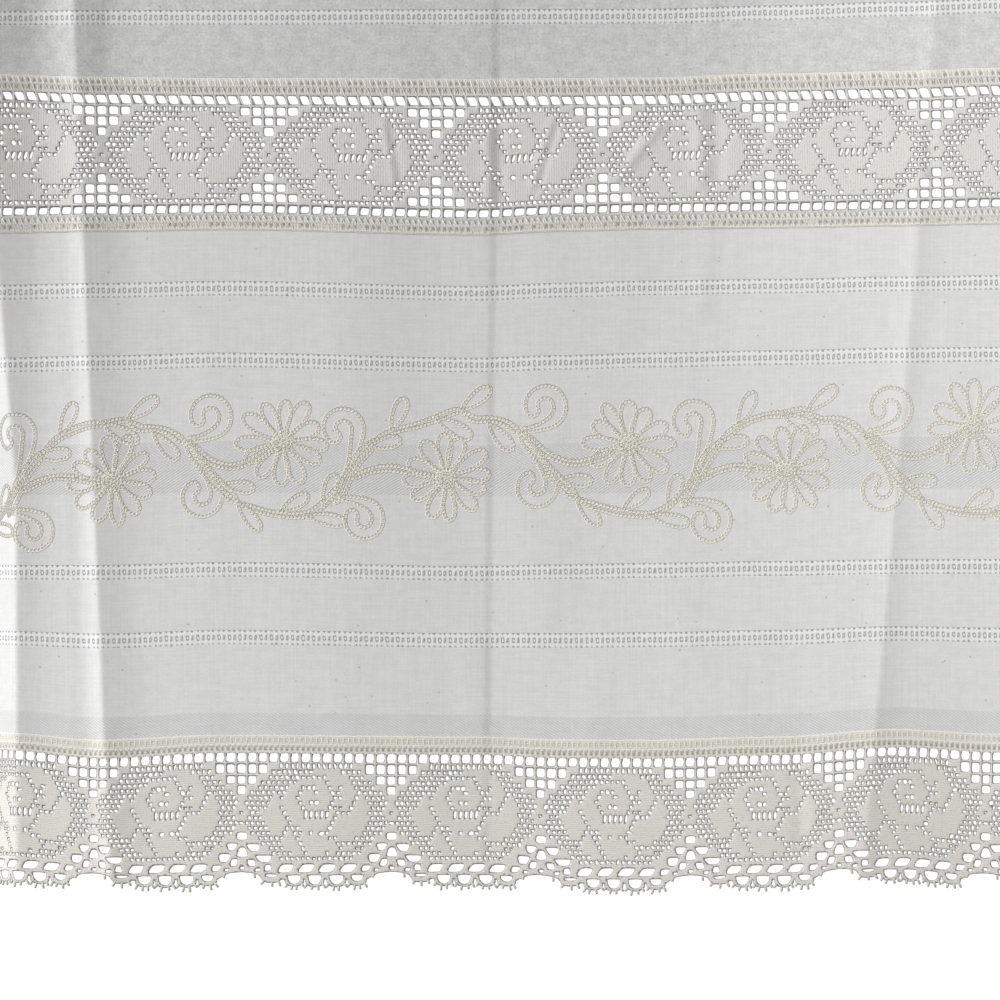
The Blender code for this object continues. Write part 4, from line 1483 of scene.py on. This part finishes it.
def vineLines():
    rng, found = np.random.default_rng(51), []
    for number, knot in enumerate(knots):
        at = np.array((knot.place, -knot.drop))
        other = {"fork": "curl", "curl": "fork"}.get(knot.kind)
        own = [[shape for shape in shapes if shape.knot == knot.kind] for shapes in (leaves, tendrils, stems)]
        for leaf in own[0]:
            heading = leaf.heading + rng.uniform(-vineForm["leafVary"], vineForm["leafVary"])
            loop = turned(leafLoop(leaf.length, leaf.width), heading)
            found.append(loop + fitted([(leaf.right, leaf.up)], number, other)[0] + at)
        for form in own[1]:
            found.append(tendrilLoop(form, knot.longer if form.curl > 0 else 0) + (form.right, form.up) + at)
        for stem in own[2]:
            line = smoothLine(fitted(stem.points, number, stem.to)) + at
            share = np.linspace(0, 1, len(line))
            meet = vineForm["rowsMeet"]        # the rows come close at both ends
            spread = meet + (1 - meet) * eased(np.minimum(share, 1 - share) * 8)
            for k in range(stem.rows):
                wander = vineForm["rowWander"] * np.sin(share * 7 + rng.uniform(0, 6))
                gap = (k - (stem.rows - 1) / 2) * vineForm["rowGap"] * spread + wander
                found.append(beside(line, gap))
        if "Daisy" in knot.kind:
            found += [line + at for line in daisyLines(rng, knot.kind == "lowDaisy")]
    return found


vine = laidAlong("vineStitches", vineLines(), vineForm["height"], chainLink("vineLink", *vineForm["link"]),
                 vineForm["stitch"], vineForm["wobble"], materials["vine"], innerEdge)
print("vine ready")


# Camera, floor and light

view = {"pixel": 0.6 * mm, "middle": -402 * mm, "distance": 12.0, "frame": 1000, "sensor": 36.0}
light = {"sun": 3.7, "spread": 38, "side": 60, "above": 30, "sunColour": (0.985, 0.992, 1.0),
         "backdrop": 1.05, "room": 0.2, "roomColour": (1, 0.99, 0.97, 1),
         "fill": 0.85, "fillPlace": (0.6, -0.28, -0.42), "fillTarget": 0.2, "fillWide": 0.1, "fillHigh": 0.9}
floor = {"level": -0.9, "reach": 1.7, "colour": (0.70, 0.695, 0.685, 1)}


def addCamera():
    camera = bpy.data.cameras.new("camera")
    camera.sensor_width = view["sensor"]
    camera.lens = view["sensor"] * view["distance"] / (view["pixel"] * view["frame"])
    camera.clip_end = 100
    made = addObject("camera", camera)
    made.location = (0, -view["distance"], view["middle"])
    made.rotation_euler = (math.pi / 2, 0, 0)
    bpy.context.scene.camera = made


def addLight():
    sun = bpy.data.lights.new("keyLight", "SUN")
    sun.energy, sun.color = light["sun"], light["sunColour"]
    sun.angle = math.radians(light["spread"])
    made = addObject("keyLight", sun)
    made.rotation_euler = (math.radians(90 - light["above"]), 0, math.radians(-light["side"]))
    fill = bpy.data.lights.new("fillLight", "AREA")
    fill.shape = "RECTANGLE"
    fill.size, fill.size_y, fill.energy = light["fillWide"], light["fillHigh"], light["fill"]
    made = addObject("fillLight", fill)
    made.location = light["fillPlace"]
    x, y, _ = light["fillPlace"]
    made.rotation_euler = (math.pi / 2, 0, math.atan2(x - light["fillTarget"], -y))
    made.visible_camera = False


def addWorld():
    # the camera sees a white backdrop, and the room itself gives only a little light
    world = bpy.data.worlds.new("studio")
    bpy.context.scene.world = world
    world.use_nodes = True
    tree = world.node_tree
    tree.nodes.clear()
    seen = first(tree, "ShaderNodeBackground", {"Color": (1, 1, 1, 1), "Strength": light["backdrop"]})
    room = first(tree, "ShaderNodeBackground", {"Color": light["roomColour"], "Strength": light["room"]})
    straight = addNode(tree, "ShaderNodeLightPath").outputs["Is Camera Ray"]
    mixed = first(tree, "ShaderNodeMixShader", {0: straight, 1: room, 2: seen})
    tree.links.new(mixed, tree.nodes.new("ShaderNodeOutputWorld").inputs[0])


def addFloor(sides=64):
    turns = [2 * math.pi * k / sides for k in range(sides)]
    points = [(floor["reach"] * math.cos(t), floor["reach"] * math.sin(t), floor["level"]) for t in turns]
    mesh = meshFrom("floor", points, [range(sides)])
    material, _, shader = newMaterial("paleFloor", 0.9, 0.0)
    shader.inputs["Base Color"].default_value = floor["colour"]
    mesh.materials.append(material)
    addObject("floor", mesh)


addCamera()
addLight()
addWorld()
addFloor()
bpy.context.scene.view_settings.view_transform = "Standard"
bpy.context.scene.view_settings.look = "None"

# Each sheet: its slot, its solid, its flat height in metres, what it hangs from and what it carries
sheets = (
    (upperCloth, "upper_cotton", "cloth_upper", 0.159, [], [upperStripe]),
    (insertionLace, "insertion_thread", "lace_insertion", 0.090, ["upperCloth"], [insertionPosts]),
    (lowerCloth, "lower_cotton", "cloth_lower", 0.323, ["insertionLace"], [lowerStripes, vine]),
    (edgingLace, "edging_thread", "lace_edging", 0.0915, ["lowerCloth"], [edgingPosts, picots]),
)
for sheet, slot, solid, high, hangsFrom, carried in sheets:
    addPiece(sheet, slot, smooth=sheet not in (upperCloth, lowerCloth))
    for piece in carried:
        addPiece(piece, slot)
    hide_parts(solid)
for sheet, slot, solid, high, hangsFrom, carried in sheets:
    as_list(carried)
    for made in [sheet] + carried:
        print(made.name, sum(len(p.vertices) - 2 for p in made.data.polygons), "triangles")
